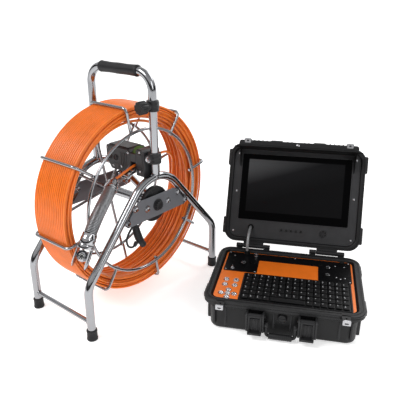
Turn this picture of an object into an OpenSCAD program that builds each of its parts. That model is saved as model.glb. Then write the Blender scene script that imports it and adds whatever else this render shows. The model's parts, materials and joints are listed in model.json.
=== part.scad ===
// Pipe inspection camera kit: a push-rod reel with a pan-and-tilt camera head,
// and a control case with a keyboard in its base and a monitor in its lid.
// Millimetres, +Z up, origin on the floor under the middle of the whole kit.

/* [Layout] */
// Reel's middle, left of the kit's middle
reel_x = -266; // [-400:1:-200]
// Reel's middle, in front of the kit's middle
reel_y = -149; // [-300:1:0]
// Case's middle, right of the kit's middle
case_x = 154; // [100:1:400]
// Case's middle, behind the kit's middle
case_y = 53; // [0:1:300]
// Turn of the case about the vertical
case_turn = 27; // [0:1:45]

/* [Reel frame] */
// Outer diameter of the stainless frame tubes
tube_d = 22; // [18:1:25]
// Wall of the frame tubes
tube_wall = 2; // [1:0.5:3]
// Distance from the middle to each A-shaped arch
arch_x = 117; // [112:1:125]
// Distance from the middle to each foot, across the axle
foot_y = 251; // [230:1:280]
// Height at which a leg turns inwards
knee_z = 150; // [120:1:170]
// Slope of the arch's sides from the floor
arch_slope = 48; // [44:1:52]
// Bend radius of the knees
knee_r = 60; // [40:1:80]
// Bend radius of the arch's top
arch_top_r = 104; // [80:1:115]
// Diameter of the crossbars between the legs
crossbar_d = 12; // [8:1:16]
// Height of the crossbars
crossbar_z = 49; // [40:1:80]
// Height of the carry handle's grip
handle_z = 650; // [620:1:720]
// Bend radius of the carry handle
handle_r = 48; // [30:1:60]
// Length of the rubber grip
grip_l = 144; // [100:1:130]
// Diameter of the rubber grip
grip_d = 28; // [26:1:34]

/* [Drum] */
// Height of the axle
axle_z = 298; // [290:1:320]
// Radius of the axle shaft
axle_r = 8; // [6:1:10]
// Radius of the cage's side hoops
hoop_r = 202; // [180:1:215]
// Distance from the middle to each hoop
hoop_x = 78; // [74:1:82]
// Diameter of the cage's wire
wire_d = 8; // [6:1:10]
// Radius of the brackets' outer wire
bracket_r = 268; // [255:1:280]
// Angle of the first bracket
cage_phase = 10.5; // [0:0.5:45]
// Number of brackets round the cage
bracket_count = 8; // [4:4:12]
// Diameter of the fibreglass push rod
rod_d = 7; // [5:0.5:9]
// Inner radius of the wound rod
coil_r = 240; // [220:1:250]

/* [Counter] */
// Sideways place of the rod in the meter counter
rod_x = 62; // [50:1:70]
// Height of the rod in the meter counter
rod_z = 404; // [395:1:415]
// Radius of the measuring wheel
wheel_r = 22; // [18:1:26]
// Radius of the pressure roller
roller_r = 12; // [8:1:14]

/* [Camera head] */
// Diameter of the camera head
head_d = 42; // [30:1:44]
// Outer diameter of the guide spring
spring_d = 33; // [26:1:36]
// Tilt of the camera from straight ahead
camera_tilt = -85; // [-90:1:90]

/* [Case] */
// Width of the case at its rim
case_w = 414; // [400:1:430]
// Depth of the case at its rim
case_d = 310; // [300:1:330]
// Height of the base's rim
rim_z = 95; // [90:1:110]
// Depth of the lid
lid_h = 52; // [45:1:60]
// Opening of the lid from shut
lid_open = 115; // [95:1:120]
// Width of the screen's picture
screen_w = 294; // [250:1:300]
// Length of the sunshade flap
flap_l = 60; // [40:1:62]

/* [Hidden] */
$fn = 48;

steel = [0.78, 0.79, 0.80];
black = [0.08, 0.08, 0.09];
dark_grey = [0.30, 0.31, 0.33];
orange = [0.93, 0.42, 0.08];

// Arch outline, worked out from its bends.
knee_turn = 90 - arch_slope;
knee_cut = knee_r * tan(knee_turn / 2);
knee_cy = foot_y - knee_r;
knee_cz = knee_z - knee_cut;
top_tangent_y = arch_top_r * cos(knee_turn);
top_tangent_z = knee_z + (foot_y - top_tangent_y) * tan(arch_slope);
top_cz = top_tangent_z - arch_top_r * sin(knee_turn);
arch_apex_z = top_cz + arch_top_r;
foot_gap = 5;

// Side plates and their lugs.
lug_t = 4;
plate_t = 4;
lug_x = arch_x - 2;
plate_x = lug_x + lug_t;
lug_bolts = [[82, 311], [112, 280]];
cover_bolt_y = 40;
bolt_r = 4;
bolt_gap = 0.05;

// Drum.
hub_r = 13;
hub_end_x = 86;
bracket_x = hoop_x - wire_d;
coil_half_w = bracket_x - wire_d / 2 - 5;
coil_outer_r = bracket_r - wire_d / 2 - 0.4;

// Meter counter.
wheel_z = rod_z + rod_d / 2 + 0.3 + wheel_r;
roller_z = rod_z - rod_d / 2 - 0.3 - roller_r;
wheel_half_w = 7;
slot_half_w = 10;

// Route of the rod from the coil's inside, through the counter, to the spring.
lead_route = [
    [-52, 102, 86], [-50, 156, 121], [-46, 200, 174], [-40, 221, 229], [-28, 222, 280],
    [-8, 207, 330], [18, 174, 374], [42, 126, 403], [57, 76, 411], [rod_x, 34, 405], [rod_x, 0, rod_z], [rod_x, -26, 402],
    [58, -55, 391], [48.6, -80.6, 376.6]
];

// Spring and camera head: where the spring starts, where it ends, and its directions there.
spring_start = [60, -110, 358];
spring_end = [106, -220, 289];
start_dir = [0.33, -0.7975, -0.505];
head_dir = [0.039, -0.539, -0.842];
spring_reach = 45;
coupling_l = 36;
collar_l = 28;
head_azimuth = atan2(head_dir[1], head_dir[0]);
head_polar = acos(head_dir[2] / norm(head_dir));
head_roll = -30;
fork_l = 60;
ball_r = 14.5;
ball_along = 58;

// Lead of the slip ring, and its parked plug.
output_route = [
    [97, -36, 268], [96, -58, 256], [95, -80, 240], [95, -94, 218], [95, -90, 198],
    [95, -76, 189], [95, -64, 193], [95, -56, 200]
];
plug_top = [95, -58, 242];
plug_bottom = [95, -37, 182];

// Case.
hinge_y = 155;
hinge_z = rim_z + 2;
rim_front = -167;
rim_mid_y = rim_front + case_d / 2;
shell_t = 8;
body_w = case_w - 34;
body_d = case_d - 26;
panel_w = 372;
panel_d = 264;
panel_y = -9;
panel_z = 88.7;
inlay_z = panel_z + 1.5;
key_z = panel_z + 2.6;
key_tray = [-115, 174, -139, -2];
latch_x = 66;
latch_z = 72;
latch_y = -179;
latch_pin_r = 3;
handle_pivot_z = 46;
handle_pivot_y = -172;
padlock_x = 157;
padlock_y = -176;
hinge_spans = [-112, 112];
hinge_half = 52;
knuckle_l = 20;
pin_r = 2.5;
running_gap = 0.05;

// Lid, drawn flat: x across, y from the hinge to the free edge, z out of the screen.
lid_tilt = 180 - lid_open;
lid_start = 12;
lid_end = lid_start + case_d;
bezel_z = -6;
screen_low = 108;
glass_w = 336;
glass_low = 82;
glass_high = 290;
flap_y = 304;
flap_z = -2.9;
flap_t = 3;
flap_half_w = 176;
flap_flare = 12;
gusset_l = 54;

// Cable between base and lid, in the case's own axes.
cable_route = [
    [-126, 116, 90.2], [-126, 117, 104], [-126, 121, 120], [-126, 131, 136],
    [-125, 147, 146], [-125, 165, 149.5], [-125, 183, 149.2]
];

// ---------- helpers ----------

function unit(v) = v / norm(v);
function bezier(a, b, c, d, t) =
    pow(1 - t, 3) * a + 3 * t * pow(1 - t, 2) * b + 3 * t * t * (1 - t) * c + pow(t, 3) * d;
function spline_point(p0, p1, p2, p3, t) =
    0.5 * (2 * p1 + (p2 - p0) * t + (2 * p0 - 5 * p1 + 4 * p2 - p3) * t * t
    + (3 * p1 - p0 - 3 * p2 + p3) * t * t * t);
function smooth_route(p, steps) = concat(
    [for (i = [0 : len(p) - 2], k = [0 : steps - 1])
        spline_point(i > 0 ? p[i - 1] : 2 * p[0] - p[1], p[i], p[i + 1],
            i + 2 < len(p) ? p[i + 2] : 2 * p[i + 1] - p[i], k / steps)],
    [p[len(p) - 1]]);
function tangent(p, i) = unit(p[min(i + 1, len(p) - 1)] - p[max(i - 1, 0)]);
function ring(p, i, r, sides) =
    let (t = tangent(p, i), a = unit(cross(t, [1, 0, 0])), b = cross(t, a))
    [for (k = [0 : sides - 1]) p[i] + r * (cos(360 * k / sides) * a + sin(360 * k / sides) * b)];

// A round tube swept along a route.
module sweep(p, r, sides) {
    rings = len(p);
    points = [for (i = [0 : rings - 1]) each ring(p, i, r, sides)];
    walls = [for (i = [0 : rings - 2], k = [0 : sides - 1])
        [i * sides + k, i * sides + (k + 1) % sides,
         (i + 1) * sides + (k + 1) % sides, (i + 1) * sides + k]];
    first = [for (k = [0 : sides - 1]) sides - 1 - k];
    last = [for (k = [0 : sides - 1]) (rings - 1) * sides + k];
    polyhedron(points, concat(walls, [first, last]));
}

// A straight round bar between two points.
module bar(a, b, d) {
    v = b - a;
    translate(a)
        rotate([0, acos(v[2] / norm(v)), atan2(v[1], v[0])])
            cylinder(h = norm(v), d = d);
}

// Puts flat work (across, up) into the upright plane at distance x along the axle.
module side_plane(x) {
    translate([x, 0, 0]) rotate([90, 0, 90]) children();
}

// An arc of round bar in the flat plane.
module arc_bar(centre, r, from, turn, d) {
    translate([centre[0], centre[1], 0]) rotate([0, 0, from])
        rotate_extrude(angle = turn, $fn = 96) translate([r, 0]) circle(d = d);
}

module along_x(x, y, z) {
    translate([x, y, z]) rotate([0, 90, 0]) children();
}

module along_y(x, y, z) {
    translate([x, y, z]) rotate([-90, 0, 0]) children();
}

// A block with round upright edges, from its middle.
module round_block(w, d, h, r) {
    translate([-w / 2 + r, -d / 2, 0]) cube([w - 2 * r, d, h]);
    translate([-w / 2, -d / 2 + r, 0]) cube([w, d - 2 * r, h]);
    for (sx = [-1, 1], sy = [-1, 1])
        translate([sx * (w / 2 - r), sy * (d / 2 - r), 0]) cylinder(h = h, r = r);
}

module at_reel() {
    translate([reel_x, reel_y, 0]) children();
}

module at_case() {
    translate([case_x, case_y, 0]) rotate([0, 0, case_turn]) children();
}

module at_lid() {
    at_case() translate([0, hinge_y, hinge_z]) rotate([lid_tilt, 0, 0]) children();
}

// ---------- reel frame ----------

// The straights run a little way into the bends, which are a hair thinner.
module arch_path(d) {
    lap = 1;
    bend_d = d - 0.1;
    run = [cos(arch_slope), sin(arch_slope)];
    for (s = [-1, 1]) {
        bar([s * foot_y, foot_gap, 0], [s * foot_y, knee_cz + lap, 0], d);
        low = [knee_cy + knee_r * cos(knee_turn) + lap * run[0],
            knee_cz + knee_r * sin(knee_turn) - lap * run[1]];
        high = [top_tangent_y - lap * run[0], top_tangent_z + lap * run[1]];
        bar([s * low[0], low[1], 0], [s * high[0], high[1], 0], d);
    }
    arc_bar([knee_cy, knee_cz], knee_r, 0, knee_turn, bend_d);
    arc_bar([-knee_cy, knee_cz], knee_r, 180 - knee_turn, knee_turn, bend_d);
    arc_bar([0, top_cz], arch_top_r, knee_turn, 180 - 2 * knee_turn, bend_d);
}

module lug(s) {
    inner = 24;
    run = 52;
    p = [s * (lug_bolts[0][0] + lug_bolts[1][0]) / 2, (lug_bolts[0][1] + lug_bolts[1][1]) / 2];
    translate([p[0], p[1], 0]) rotate([0, 0, -s * arch_slope])
        translate([s > 0 ? -run / 2 : -run / 2, -inner / 2, -2])
            cube([run, inner + 2, lug_t]);
}

module arch(side) {
    color(steel) at_reel() side_plane(side * arch_x) difference() {
        union() {
            arch_path(tube_d);
            for (s = [-1, 1]) lug(s);
        }
        arch_path(tube_d - 2 * tube_wall);
        for (s = [-1, 1], b = lug_bolts)
            translate([s * b[0], b[1], -10]) cylinder(h = 20, r = bolt_r + bolt_gap);
    }
}

module arch_near() { arch(1); }
module arch_far() { arch(-1); }

module crossbars() {
    color(steel) at_reel() for (s = [-1, 1]) difference() {
        bar([-arch_x, s * foot_y, crossbar_z], [arch_x, s * foot_y, crossbar_z], crossbar_d);
        for (t = [-1, 1])
            translate([t * arch_x, s * foot_y, crossbar_z - 20]) cylinder(h = 40, d = tube_d);
    }
}

module handle_path(d) {
    lap = 1;
    bend_d = d - 0.1;
    low = arch_apex_z + 0.5;
    for (s = [-1, 1])
        bar([s * arch_x, low, 0], [s * arch_x, handle_z - handle_r + lap, 0], d);
    bar([-arch_x + handle_r - lap, handle_z, 0], [arch_x - handle_r + lap, handle_z, 0], d);
    arc_bar([arch_x - handle_r, handle_z - handle_r], handle_r, 0, 90, bend_d);
    arc_bar([-arch_x + handle_r, handle_z - handle_r], handle_r, 90, 90, bend_d);
}

module carry_handle() {
    color(steel) at_reel() difference() {
        rotate([90, 0, 0]) difference() {
            handle_path(tube_d);
            handle_path(tube_d - 2 * tube_wall);
        }
        for (s = [-1, 1]) side_plane(s * arch_x)
            arc_bar([0, top_cz], arch_top_r, 45, 90, tube_d);
    }
}

module handle_grip() {
    color(black) at_reel() along_x(-grip_l / 2, 0, handle_z) difference() {
        union() {
            cylinder(h = grip_l, d = grip_d);
            for (end = [0, grip_l - 6]) translate([0, 0, end]) cylinder(h = 6, d = grip_d + 3);
        }
        translate([0, 0, -1]) cylinder(h = grip_l + 2, d = tube_d);
    }
}

module rubber_feet() {
    color(black) at_reel() for (sx = [-1, 1], sy = [-1, 1])
        translate([sx * arch_x, sy * foot_y, 0]) difference() {
            union() {
                cylinder(h = 30, d = tube_d + 5);
                cylinder(h = 6, d = tube_d + 8);
            }
            translate([0, 0, foot_gap]) cylinder(h = 40, d = tube_d);
        }
}

// ---------- side plates and axle ----------

module side_plate(side) {
    half_low = 123;
    half_high = 70;
    low = 266;
    high = 327;
    difference() {
        translate([0, 0, side > 0 ? 0 : -plate_t]) linear_extrude(plate_t) polygon([
            [-half_low, low], [half_low, low], [half_high, high], [-half_high, high]]);
        for (s = [-1, 1], b = lug_bolts)
            translate([s * b[0], b[1], -10]) cylinder(h = 20, r = bolt_r + bolt_gap);
        for (s = [-1, 1])
            translate([s * cover_bolt_y, axle_z, -10]) cylinder(h = 20, r = bolt_r + bolt_gap);
        translate([0, axle_z, -10]) cylinder(h = 20, r = axle_r + bolt_gap);
    }
}

module side_plates() {
    color(dark_grey) at_reel() for (side = [-1, 1])
        side_plane(side * plate_x) side_plate(side);
}

module hex_bolt(shank) {
    cylinder(h = shank, r = bolt_r);
    translate([0, 0, -5]) cylinder(h = 5, r = 7.2, $fn = 6);
}

module plate_bolts() {
    color(steel) at_reel() for (side = [-1, 1]) {
        mirror([side < 0 ? 1 : 0, 0, 0]) for (s = [-1, 1]) {
            for (b = lug_bolts) {
                translate([plate_x + plate_t, s * b[0], b[1]]) rotate([0, -90, 0]) hex_bolt(14);
                translate([lug_x - 6, s * b[0], b[1]]) rotate([0, 90, 0]) difference() {
                    cylinder(h = 6, r = 6.2, $fn = 6);
                    translate([0, 0, -1]) cylinder(h = 8, r = bolt_r);
                }
            }
            translate([plate_x + plate_t, s * cover_bolt_y, axle_z])
                rotate([0, -90, 0]) hex_bolt(13);
        }
    }
}

module axle_shaft() {
    reach = plate_x + plate_t + 8;
    color(steel) at_reel() along_x(-reach, 0, axle_z) cylinder(h = 2 * reach, r = axle_r);
}

module axle_nuts() {
    color(black) at_reel() for (side = [-1, 1]) mirror([side < 0 ? 1 : 0, 0, 0])
        along_x(plate_x + plate_t, 0, axle_z) difference() {
            union() {
                cylinder(h = 3, r = 17);
                cylinder(h = 10, r = 14, $fn = 6);
                cylinder(h = 12, r = 11.5);
            }
            translate([0, 0, -1]) cylinder(h = 9, r = axle_r);
        }
}

module slip_ring_cover() {
    disc_x = 102;
    neck_x = 90;
    color(black) at_reel() difference() {
        union() {
            along_x(disc_x, 0, axle_z) cylinder(h = lug_x - 0.5 - disc_x, r = 50);
            along_x(neck_x, 0, axle_z) cylinder(h = 14, r = 28);
            for (s = [-1, 1]) along_x(lug_x - 2, s * cover_bolt_y, axle_z) cylinder(h = 6, r = 9);
        }
        along_x(neck_x - 1, 0, axle_z) cylinder(h = 40, r = axle_r + 0.1);
        for (s = [-1, 1])
            along_x(plate_x - 10, s * cover_bolt_y, axle_z) cylinder(h = 12, r = bolt_r);
    }
}

// ---------- clamp on the handle ----------

clamp_z = 568;

module clamp_collar() {
    color(black) at_reel() difference() {
        union() {
            translate([arch_x, 0, clamp_z - 14]) cylinder(h = 28, r = 16);
            along_y(arch_x, -26, clamp_z) cylinder(h = 20, r = 9);
        }
        translate([arch_x, 0, clamp_z - 20]) cylinder(h = 40, d = tube_d);
        along_y(arch_x, -40, clamp_z) cylinder(h = 28, r = 3.05);
    }
}

module clamp_knob() {
    color(black) at_reel() {
        along_y(arch_x, -27, clamp_z) cylinder(h = 15, r = 3);
        along_y(arch_x, -50, clamp_z) difference() {
            cylinder(h = 23, r = 17.5);
            for (k = [0 : 7]) rotate([0, 0, k * 45]) translate([21, 0, -1])
                cylinder(h = 25, r = 5);
        }
    }
}

// ---------- meter counter ----------

module counter_bracket() {
    low = 416;
    color(dark_grey) at_reel() {
        difference() {
            union() {
                translate([arch_x, 0, low]) cylinder(h = 28, r = 18);
                translate([104, -9, low]) cube([12, 18, 28]);
                along_y(arch_x, -24, low + 14) cylinder(h = 14, r = 12);
            }
            translate([arch_x, 0, low - 1]) cylinder(h = 30, d = tube_d);
        }
        along_y(arch_x, -29, low + 14) cylinder(h = 5, r = 7, $fn = 6);
        for (step = [0 : 1]) translate([rod_x - 13, -27, 391]) rotate([27, 0, 0])
            translate([step * 24, -34, 0]) cube([2, 34, 9]);
        translate([rod_x - 11, -27, 391]) rotate([27, 0, 0]) translate([0, -34, 0])
            cube([22, 34, 2]);
    }
}

module counter_housing() {
    left_x = -44;
    right_end = 104;
    color(black) at_reel() difference() {
        union() {
            translate([left_x, -26, 378]) cube([rod_x - slot_half_w - left_x, 60, 66]);
            translate([rod_x + slot_half_w, -26, 378]) cube([right_end - rod_x - slot_half_w, 60, 74]);
            translate([rod_x - slot_half_w, -26, rod_z + 8]) cube([2 * slot_half_w, 3, 26]);
            translate([rod_x - slot_half_w, 29, rod_z + 8]) cube([2 * slot_half_w, 5, 26]);
        }
        translate([arch_x, 0, 415]) cylinder(h = 30, r = 18.1);
        translate([103, -9.1, 415]) cube([2, 18.2, 30]);
        along_x(rod_x - 18, 0, wheel_z) cylinder(h = 36, r = 4 + running_gap);
        along_x(rod_x - 16, 0, roller_z) cylinder(h = 32, r = 3 + running_gap);
        translate([89, 0, 370]) cylinder(h = 24, r = 4 + running_gap);
        translate([left_x - 1, -40, 378]) rotate([0, -35, 0]) translate([-30, 0, -20]) cube([30, 90, 40]);
        for (x = [-30, -6]) along_y(x, -27, 412) cylinder(h = 3, r = 6.5);
    }
}

module measuring_wheel() {
    color([0.35, 0.62, 0.25]) at_reel() {
        along_x(rod_x - wheel_half_w, 0, wheel_z) cylinder(h = 2 * wheel_half_w, r = wheel_r);
        along_x(rod_x - 17, 0, wheel_z) cylinder(h = 34, r = 4);
    }
}

module pressure_roller() {
    color(steel) at_reel() {
        along_x(rod_x - wheel_half_w, 0, roller_z) cylinder(h = 2 * wheel_half_w, r = roller_r);
        along_x(rod_x - 15, 0, roller_z) cylinder(h = 30, r = 3);
    }
}

module tension_knob() {
    color(black) at_reel() translate([89, 0, 0]) {
        translate([0, 0, 368]) cylinder(h = 22, r = 4);
        translate([0, 0, 356]) difference() {
            cylinder(h = 16, r = 11);
            for (k = [0 : 5]) rotate([0, 0, k * 60]) translate([13.5, 0, -1])
                cylinder(h = 18, r = 3.6);
        }
    }
}

// ---------- rod, spring and camera ----------

module push_rod_lead() {
    color(orange) at_reel() sweep(smooth_route(lead_route, 3), rod_d / 2, 8);
}

module head_frame() {
    translate(spring_end) rotate([0, head_polar, head_azimuth]) rotate([0, 0, head_roll])
        children();
}

module spring_couplings() {
    color(steel) at_reel() {
        translate(spring_start)
            rotate([0, acos(start_dir[2] / norm(start_dir)), atan2(start_dir[1], start_dir[0])])
                translate([0, 0, -coupling_l]) difference() {
                    union() {
                        cylinder(h = 10, r = 10);
                        translate([0, 0, 10]) cylinder(h = 14, r = 15);
                        translate([0, 0, 24]) cylinder(h = coupling_l - 24.5, r = 18);
                    }
                    translate([0, 0, -1]) cylinder(h = 4, r = rod_d / 2 + 0.6);
                }
        head_frame() {
            translate([0, 0, 0.5]) cylinder(h = 11.5, r = 18.5);
            translate([0, 0, 12]) cylinder(h = collar_l - 12.3, r = 19.5);
        }
    }
}

module camera_spring() {
    first = spring_start + spring_reach * start_dir;
    second = spring_end - spring_reach * head_dir;
    steps = concat([0, 0.004], [for (k = [1 : 17]) k / 18], [0.996, 1]);
    route = [for (t = steps) bezier(spring_start, first, second, spring_end, t)];
    color([0.55, 0.56, 0.58]) at_reel() sweep(route, spring_d / 2, 12);
}

module camera_fork() {
    color(steel) at_reel() head_frame() translate([0, 0, collar_l]) difference() {
        intersection() {
            cylinder(h = fork_l, r = head_d / 2);
            translate([0, 0, 20]) sphere(r = 45);
        }
        translate([0, 0, 12]) rotate([90, 0, 0]) translate([-40, 0, -ball_r - 0.5])
            cube([80, 80, 2 * ball_r + 1]);
        translate([0, 0, ball_along - collar_l]) rotate([90, 0, 0]) translate([0, 0, -25])
            cylinder(h = 50, r = 3 + running_gap);
    }
}

module camera_ball() {
    color(steel) at_reel() head_frame() translate([0, 0, ball_along])
        rotate([0, camera_tilt, 0]) {
            difference() {
                intersection() {
                    sphere(r = ball_r);
                    translate([-20, -20, -20]) cube([40, 40, 32]);
                }
                translate([0, 0, 8]) cylinder(h = 10, r = 7);
            }
            rotate([90, 0, 0]) translate([0, 0, -18]) cylinder(h = 36, r = 3);
        }
}

module output_lead() {
    color(black) at_reel() sweep(smooth_route(output_route, 2), 3, 8);
}

module output_plug() {
    across = unit(plug_bottom - plug_top);
    color(black) at_reel() {
        bar(plug_top, plug_bottom, 18);
        bar(plug_top + 8 * across, plug_top + 30 * across, 20);
    }
}

// ---------- drum ----------

module at_axle(x) {
    at_reel() along_x(x, 0, axle_z) rotate([0, 0, 90]) children();
}

module hub_tube() {
    color(steel) at_axle(-hub_end_x) difference() {
        cylinder(h = 2 * hub_end_x, r = hub_r);
        translate([0, 0, -1]) cylinder(h = 2 * hub_end_x + 2, r = 11);
    }
}

module hub_bearings() {
    color(steel) for (x = [-hub_end_x, hub_end_x - 12]) at_axle(x) difference() {
        cylinder(h = 12, r = 11);
        translate([0, 0, -1]) cylinder(h = 14, r = axle_r + running_gap);
    }
}

module hoop(x) {
    color(steel) at_axle(x) rotate_extrude($fn = 96) translate([hoop_r, 0]) circle(d = wire_d);
}

module hoop_near() { hoop(hoop_x); }
module hoop_far() { hoop(-hoop_x); }

// Turns drawing done along +Z by the given angle, measured from +Y towards +Z.
module at_spoke(angle) {
    at_reel() translate([0, 0, axle_z]) rotate([angle - 90, 0, 0]) children();
}

module bracket() {
    bend = 10;
    low = hoop_r - 4;
    rotate([90, 0, 0]) {
        for (s = [-1, 1])
            bar([s * bracket_x, low, 0], [s * bracket_x, bracket_r - bend, 0], wire_d);
        bar([-bracket_x + bend, bracket_r, 0], [bracket_x - bend, bracket_r, 0], wire_d);
        arc_bar([bracket_x - bend, bracket_r - bend], bend, 0, 90, wire_d);
        arc_bar([-bracket_x + bend, bracket_r - bend], bend, 90, 90, wire_d);
    }
}

module cage_brackets() {
    color(steel) for (k = [0 : bracket_count - 1])
        at_spoke(cage_phase + k * 360 / bracket_count) bracket();
}

module spokes() {
    color(steel) for (k = [0 : bracket_count - 1])
        at_spoke(cage_phase + k * 360 / bracket_count) difference() {
            bar([-hoop_x, 0, hub_r - 4], [-hoop_x, 0, hoop_r], wire_d);
            along_x(-100, 0, 0) cylinder(h = 200, r = hub_r);
            translate([0, 0, 0]) along_x(-hoop_x - 10, 0, 0) difference() {
                cylinder(h = 20, r = hoop_r + 20);
                translate([0, 0, -1]) cylinder(h = 22, r = hoop_r - wire_d / 2);
            }
        }
}

module push_rod_coil() {
    round_off = rod_d / 2;
    color(orange) at_axle(0) rotate_extrude($fn = 96) {
        translate([coil_r + round_off, -coil_half_w])
            square([coil_outer_r - coil_r - 2 * round_off, 2 * coil_half_w]);
        translate([coil_r, -coil_half_w + round_off])
            square([coil_outer_r - coil_r, 2 * coil_half_w - 2 * round_off]);
        for (x = [coil_r + round_off, coil_outer_r - round_off], s = [-1, 1])
            translate([x, s * (coil_half_w - round_off)]) circle(r = round_off);
    }
}

// ---------- case base ----------

module latch_ears(x) {
    for (s = [-1, 1]) translate([x + s * 21 - 2.5, latch_y - 7, 18]) cube([5, 40, 61]);
}

module padlock_tab(x) {
    translate([x - 11, padlock_y - 8, rim_z - 12]) cube([22, 30, 12]);
}

module base_knuckles() {
    for (x = hinge_spans, s = [-1, 1]) {
        low = x + (s > 0 ? hinge_half - knuckle_l : -hinge_half);
        translate([low, 136, rim_z - 11]) cube([knuckle_l, hinge_y - 136, 11]);
        along_x(low, hinge_y, hinge_z) cylinder(h = knuckle_l, r = 7);
    }
}

module base_shell() {
    color(black) at_case() difference() {
        union() {
            translate([0, rim_mid_y, 3]) round_block(body_w - 10, body_d - 10, 6, 24);
            translate([0, rim_mid_y, 8]) round_block(body_w, body_d, 70, 28);
            translate([0, rim_mid_y, 72]) round_block(case_w - 14, case_d - 14, 9, 32);
            translate([0, rim_mid_y, 80]) round_block(case_w, case_d, rim_z - 80, 36);
            for (x = [-latch_x, latch_x]) latch_ears(x);
            for (x = [-176, -146, 146, 176]) translate([x - 3, -157, 14]) cube([6, 8, 62]);
            for (s = [-1, 1]) padlock_tab(s * padlock_x);
            base_knuckles();
        }
        translate([0, rim_mid_y, 12])
            round_block(body_w - 2 * shell_t + 8.2, body_d - 2 * shell_t + 2, 100, 15.8);
        for (x = [-latch_x, latch_x]) along_x(x - 30, latch_y, latch_z)
            cylinder(h = 60, r = latch_pin_r + running_gap);
        along_x(-latch_x - 30, handle_pivot_y, handle_pivot_z)
            cylinder(h = 2 * latch_x + 60, r = 4 + running_gap);
        along_y(2, -170, 60) cylinder(h = 40, r = 5 + running_gap);
        for (x = hinge_spans) along_x(x - hinge_half - 1, hinge_y, hinge_z)
            cylinder(h = 2 * hinge_half + 2, r = pin_r);
        for (s = [-1, 1]) translate([s * padlock_x, padlock_y, 70]) cylinder(h = 40, r = 3.5);
    }
}

module case_feet() {
    color(black) at_case() for (sx = [-1, 1], sy = [-1, 1])
        translate([sx * 150, rim_mid_y + sy * 104, 0]) cylinder(h = 3, r = 14);
}

module control_panel() {
    color(orange) at_case() translate([0, panel_y, panel_z - 3]) difference() {
        round_block(panel_w, panel_d, 3, 16);
        for (p = button_places) translate([p[0], p[1] - panel_y, -1])
            cylinder(h = 6, r = 5 + running_gap);
        translate([-126, 116 - panel_y, -1]) cylinder(h = 6, r = 5);
    }
}

module inlay(x0, x1, y0, y1) {
    translate([(x0 + x1) / 2, (y0 + y1) / 2, panel_z]) round_block(x1 - x0, y1 - y0, 1.5, 5);
}

module black_inlays() {
    color(black) at_case() difference() {
        union() {
            inlay(-180, -84, 4, 118);
            inlay(-170, 170, 80, 118);
            inlay(88, 180, 0, 118);
            inlay(-117, 176, -141, 0);
            translate([key_tray[0], key_tray[2], panel_z + 1])
                cube([key_tray[1] - key_tray[0], key_tray[3] - key_tray[2], 1.6]);
        }
        translate([key_tray[0] + 3, key_tray[2] + 3, panel_z + 1])
            cube([key_tray[1] - key_tray[0] - 6, key_tray[3] - key_tray[2] - 6, 4]);
        translate([-126, 116, panel_z - 1]) cylinder(h = 6, r = 5);
        for (p = socket_places) translate([p[0], p[1], panel_z - 1]) cylinder(h = 6, r = p[2]);
        translate([aerial_place[0], aerial_place[1], panel_z - 1]) cylinder(h = 6, r = 6);
    }
}

key_columns = 15;
key_rows = 6;
key_pitch_x = 18.6;
key_pitch_y = 21.6;
key_left = 29.5 - key_columns * key_pitch_x / 2;
key_low = -136;
space_from = 4;
space_to = 8;

module key(column, span, row) {
    w = span * key_pitch_x - 3.2;
    translate([key_left + column * key_pitch_x + 1.6, key_low + row * key_pitch_y + 2, key_z])
        cube([w, key_pitch_y - 4, 3]);
}

module keyboard_keys() {
    color(black) at_case() {
        for (row = [0 : key_rows - 1], column = [0 : key_columns - 1])
            if (row > 0 || column < space_from || column > space_to) key(column, 1, row);
        key(space_from, space_to - space_from + 1, 0);
    }
}

// Round sockets on the panel: place and radius of the hole they fill.
socket_places = [[-127.5, 54, 10], [-155.5, 18, 6], [-156, 60, 5], [-92, 57, 4], [115.5, 76, 9],
    [115, 34, 9], [155, 106, 7]];
aerial_place = [-96, 104];

module panel_sockets() {
    color(dark_grey) at_case() {
        for (p = socket_places) translate([p[0], p[1], panel_z]) difference() {
            cylinder(h = 4, r = p[2]);
            translate([0, 0, 1]) cylinder(h = 5, r = p[2] * 0.55);
        }
        translate([aerial_place[0], aerial_place[1], panel_z]) difference() {
            union() {
                cylinder(h = 3, r = 6);
                cylinder(h = 11, r = 4.8);
            }
            translate([0, 0, 2]) cylinder(h = 12, r = 3.2);
        }
    }
}

module hinge_pins() {
    color(steel) at_case() for (x = hinge_spans)
        along_x(x - hinge_half, hinge_y, hinge_z) cylinder(h = 2 * hinge_half, r = pin_r);
}

module battery_pack() {
    color(dark_grey) at_case() translate([60, -10, 12]) round_block(180, 110, 46, 5);
}

module latch(x) {
    hook_far = latch_z - 54;
    color(black) at_case() difference() {
        union() {
            along_x(x - 18, latch_y, latch_z) cylinder(h = 36, r = 6);
            translate([x - 18, latch_y + 2, hook_far]) cube([36, 6, latch_z - hook_far]);
            translate([x - 18, latch_y - 11, hook_far]) cube([36, 14, 7]);
            for (s = [-1, 1]) translate([x + s * 15.5 - 2.5, latch_y - 5, hook_far])
                cube([5, 8, latch_z - hook_far]);
            along_x(x - 26, latch_y, latch_z) cylinder(h = 52, r = latch_pin_r);
        }
        for (s = [-1, 1]) translate([x + s * 6 - 4, latch_y + 1, 32]) cube([8, 3, 26]);
    }
}

module latch_left() { latch(-latch_x); }
module latch_right() { latch(latch_x); }

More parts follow.
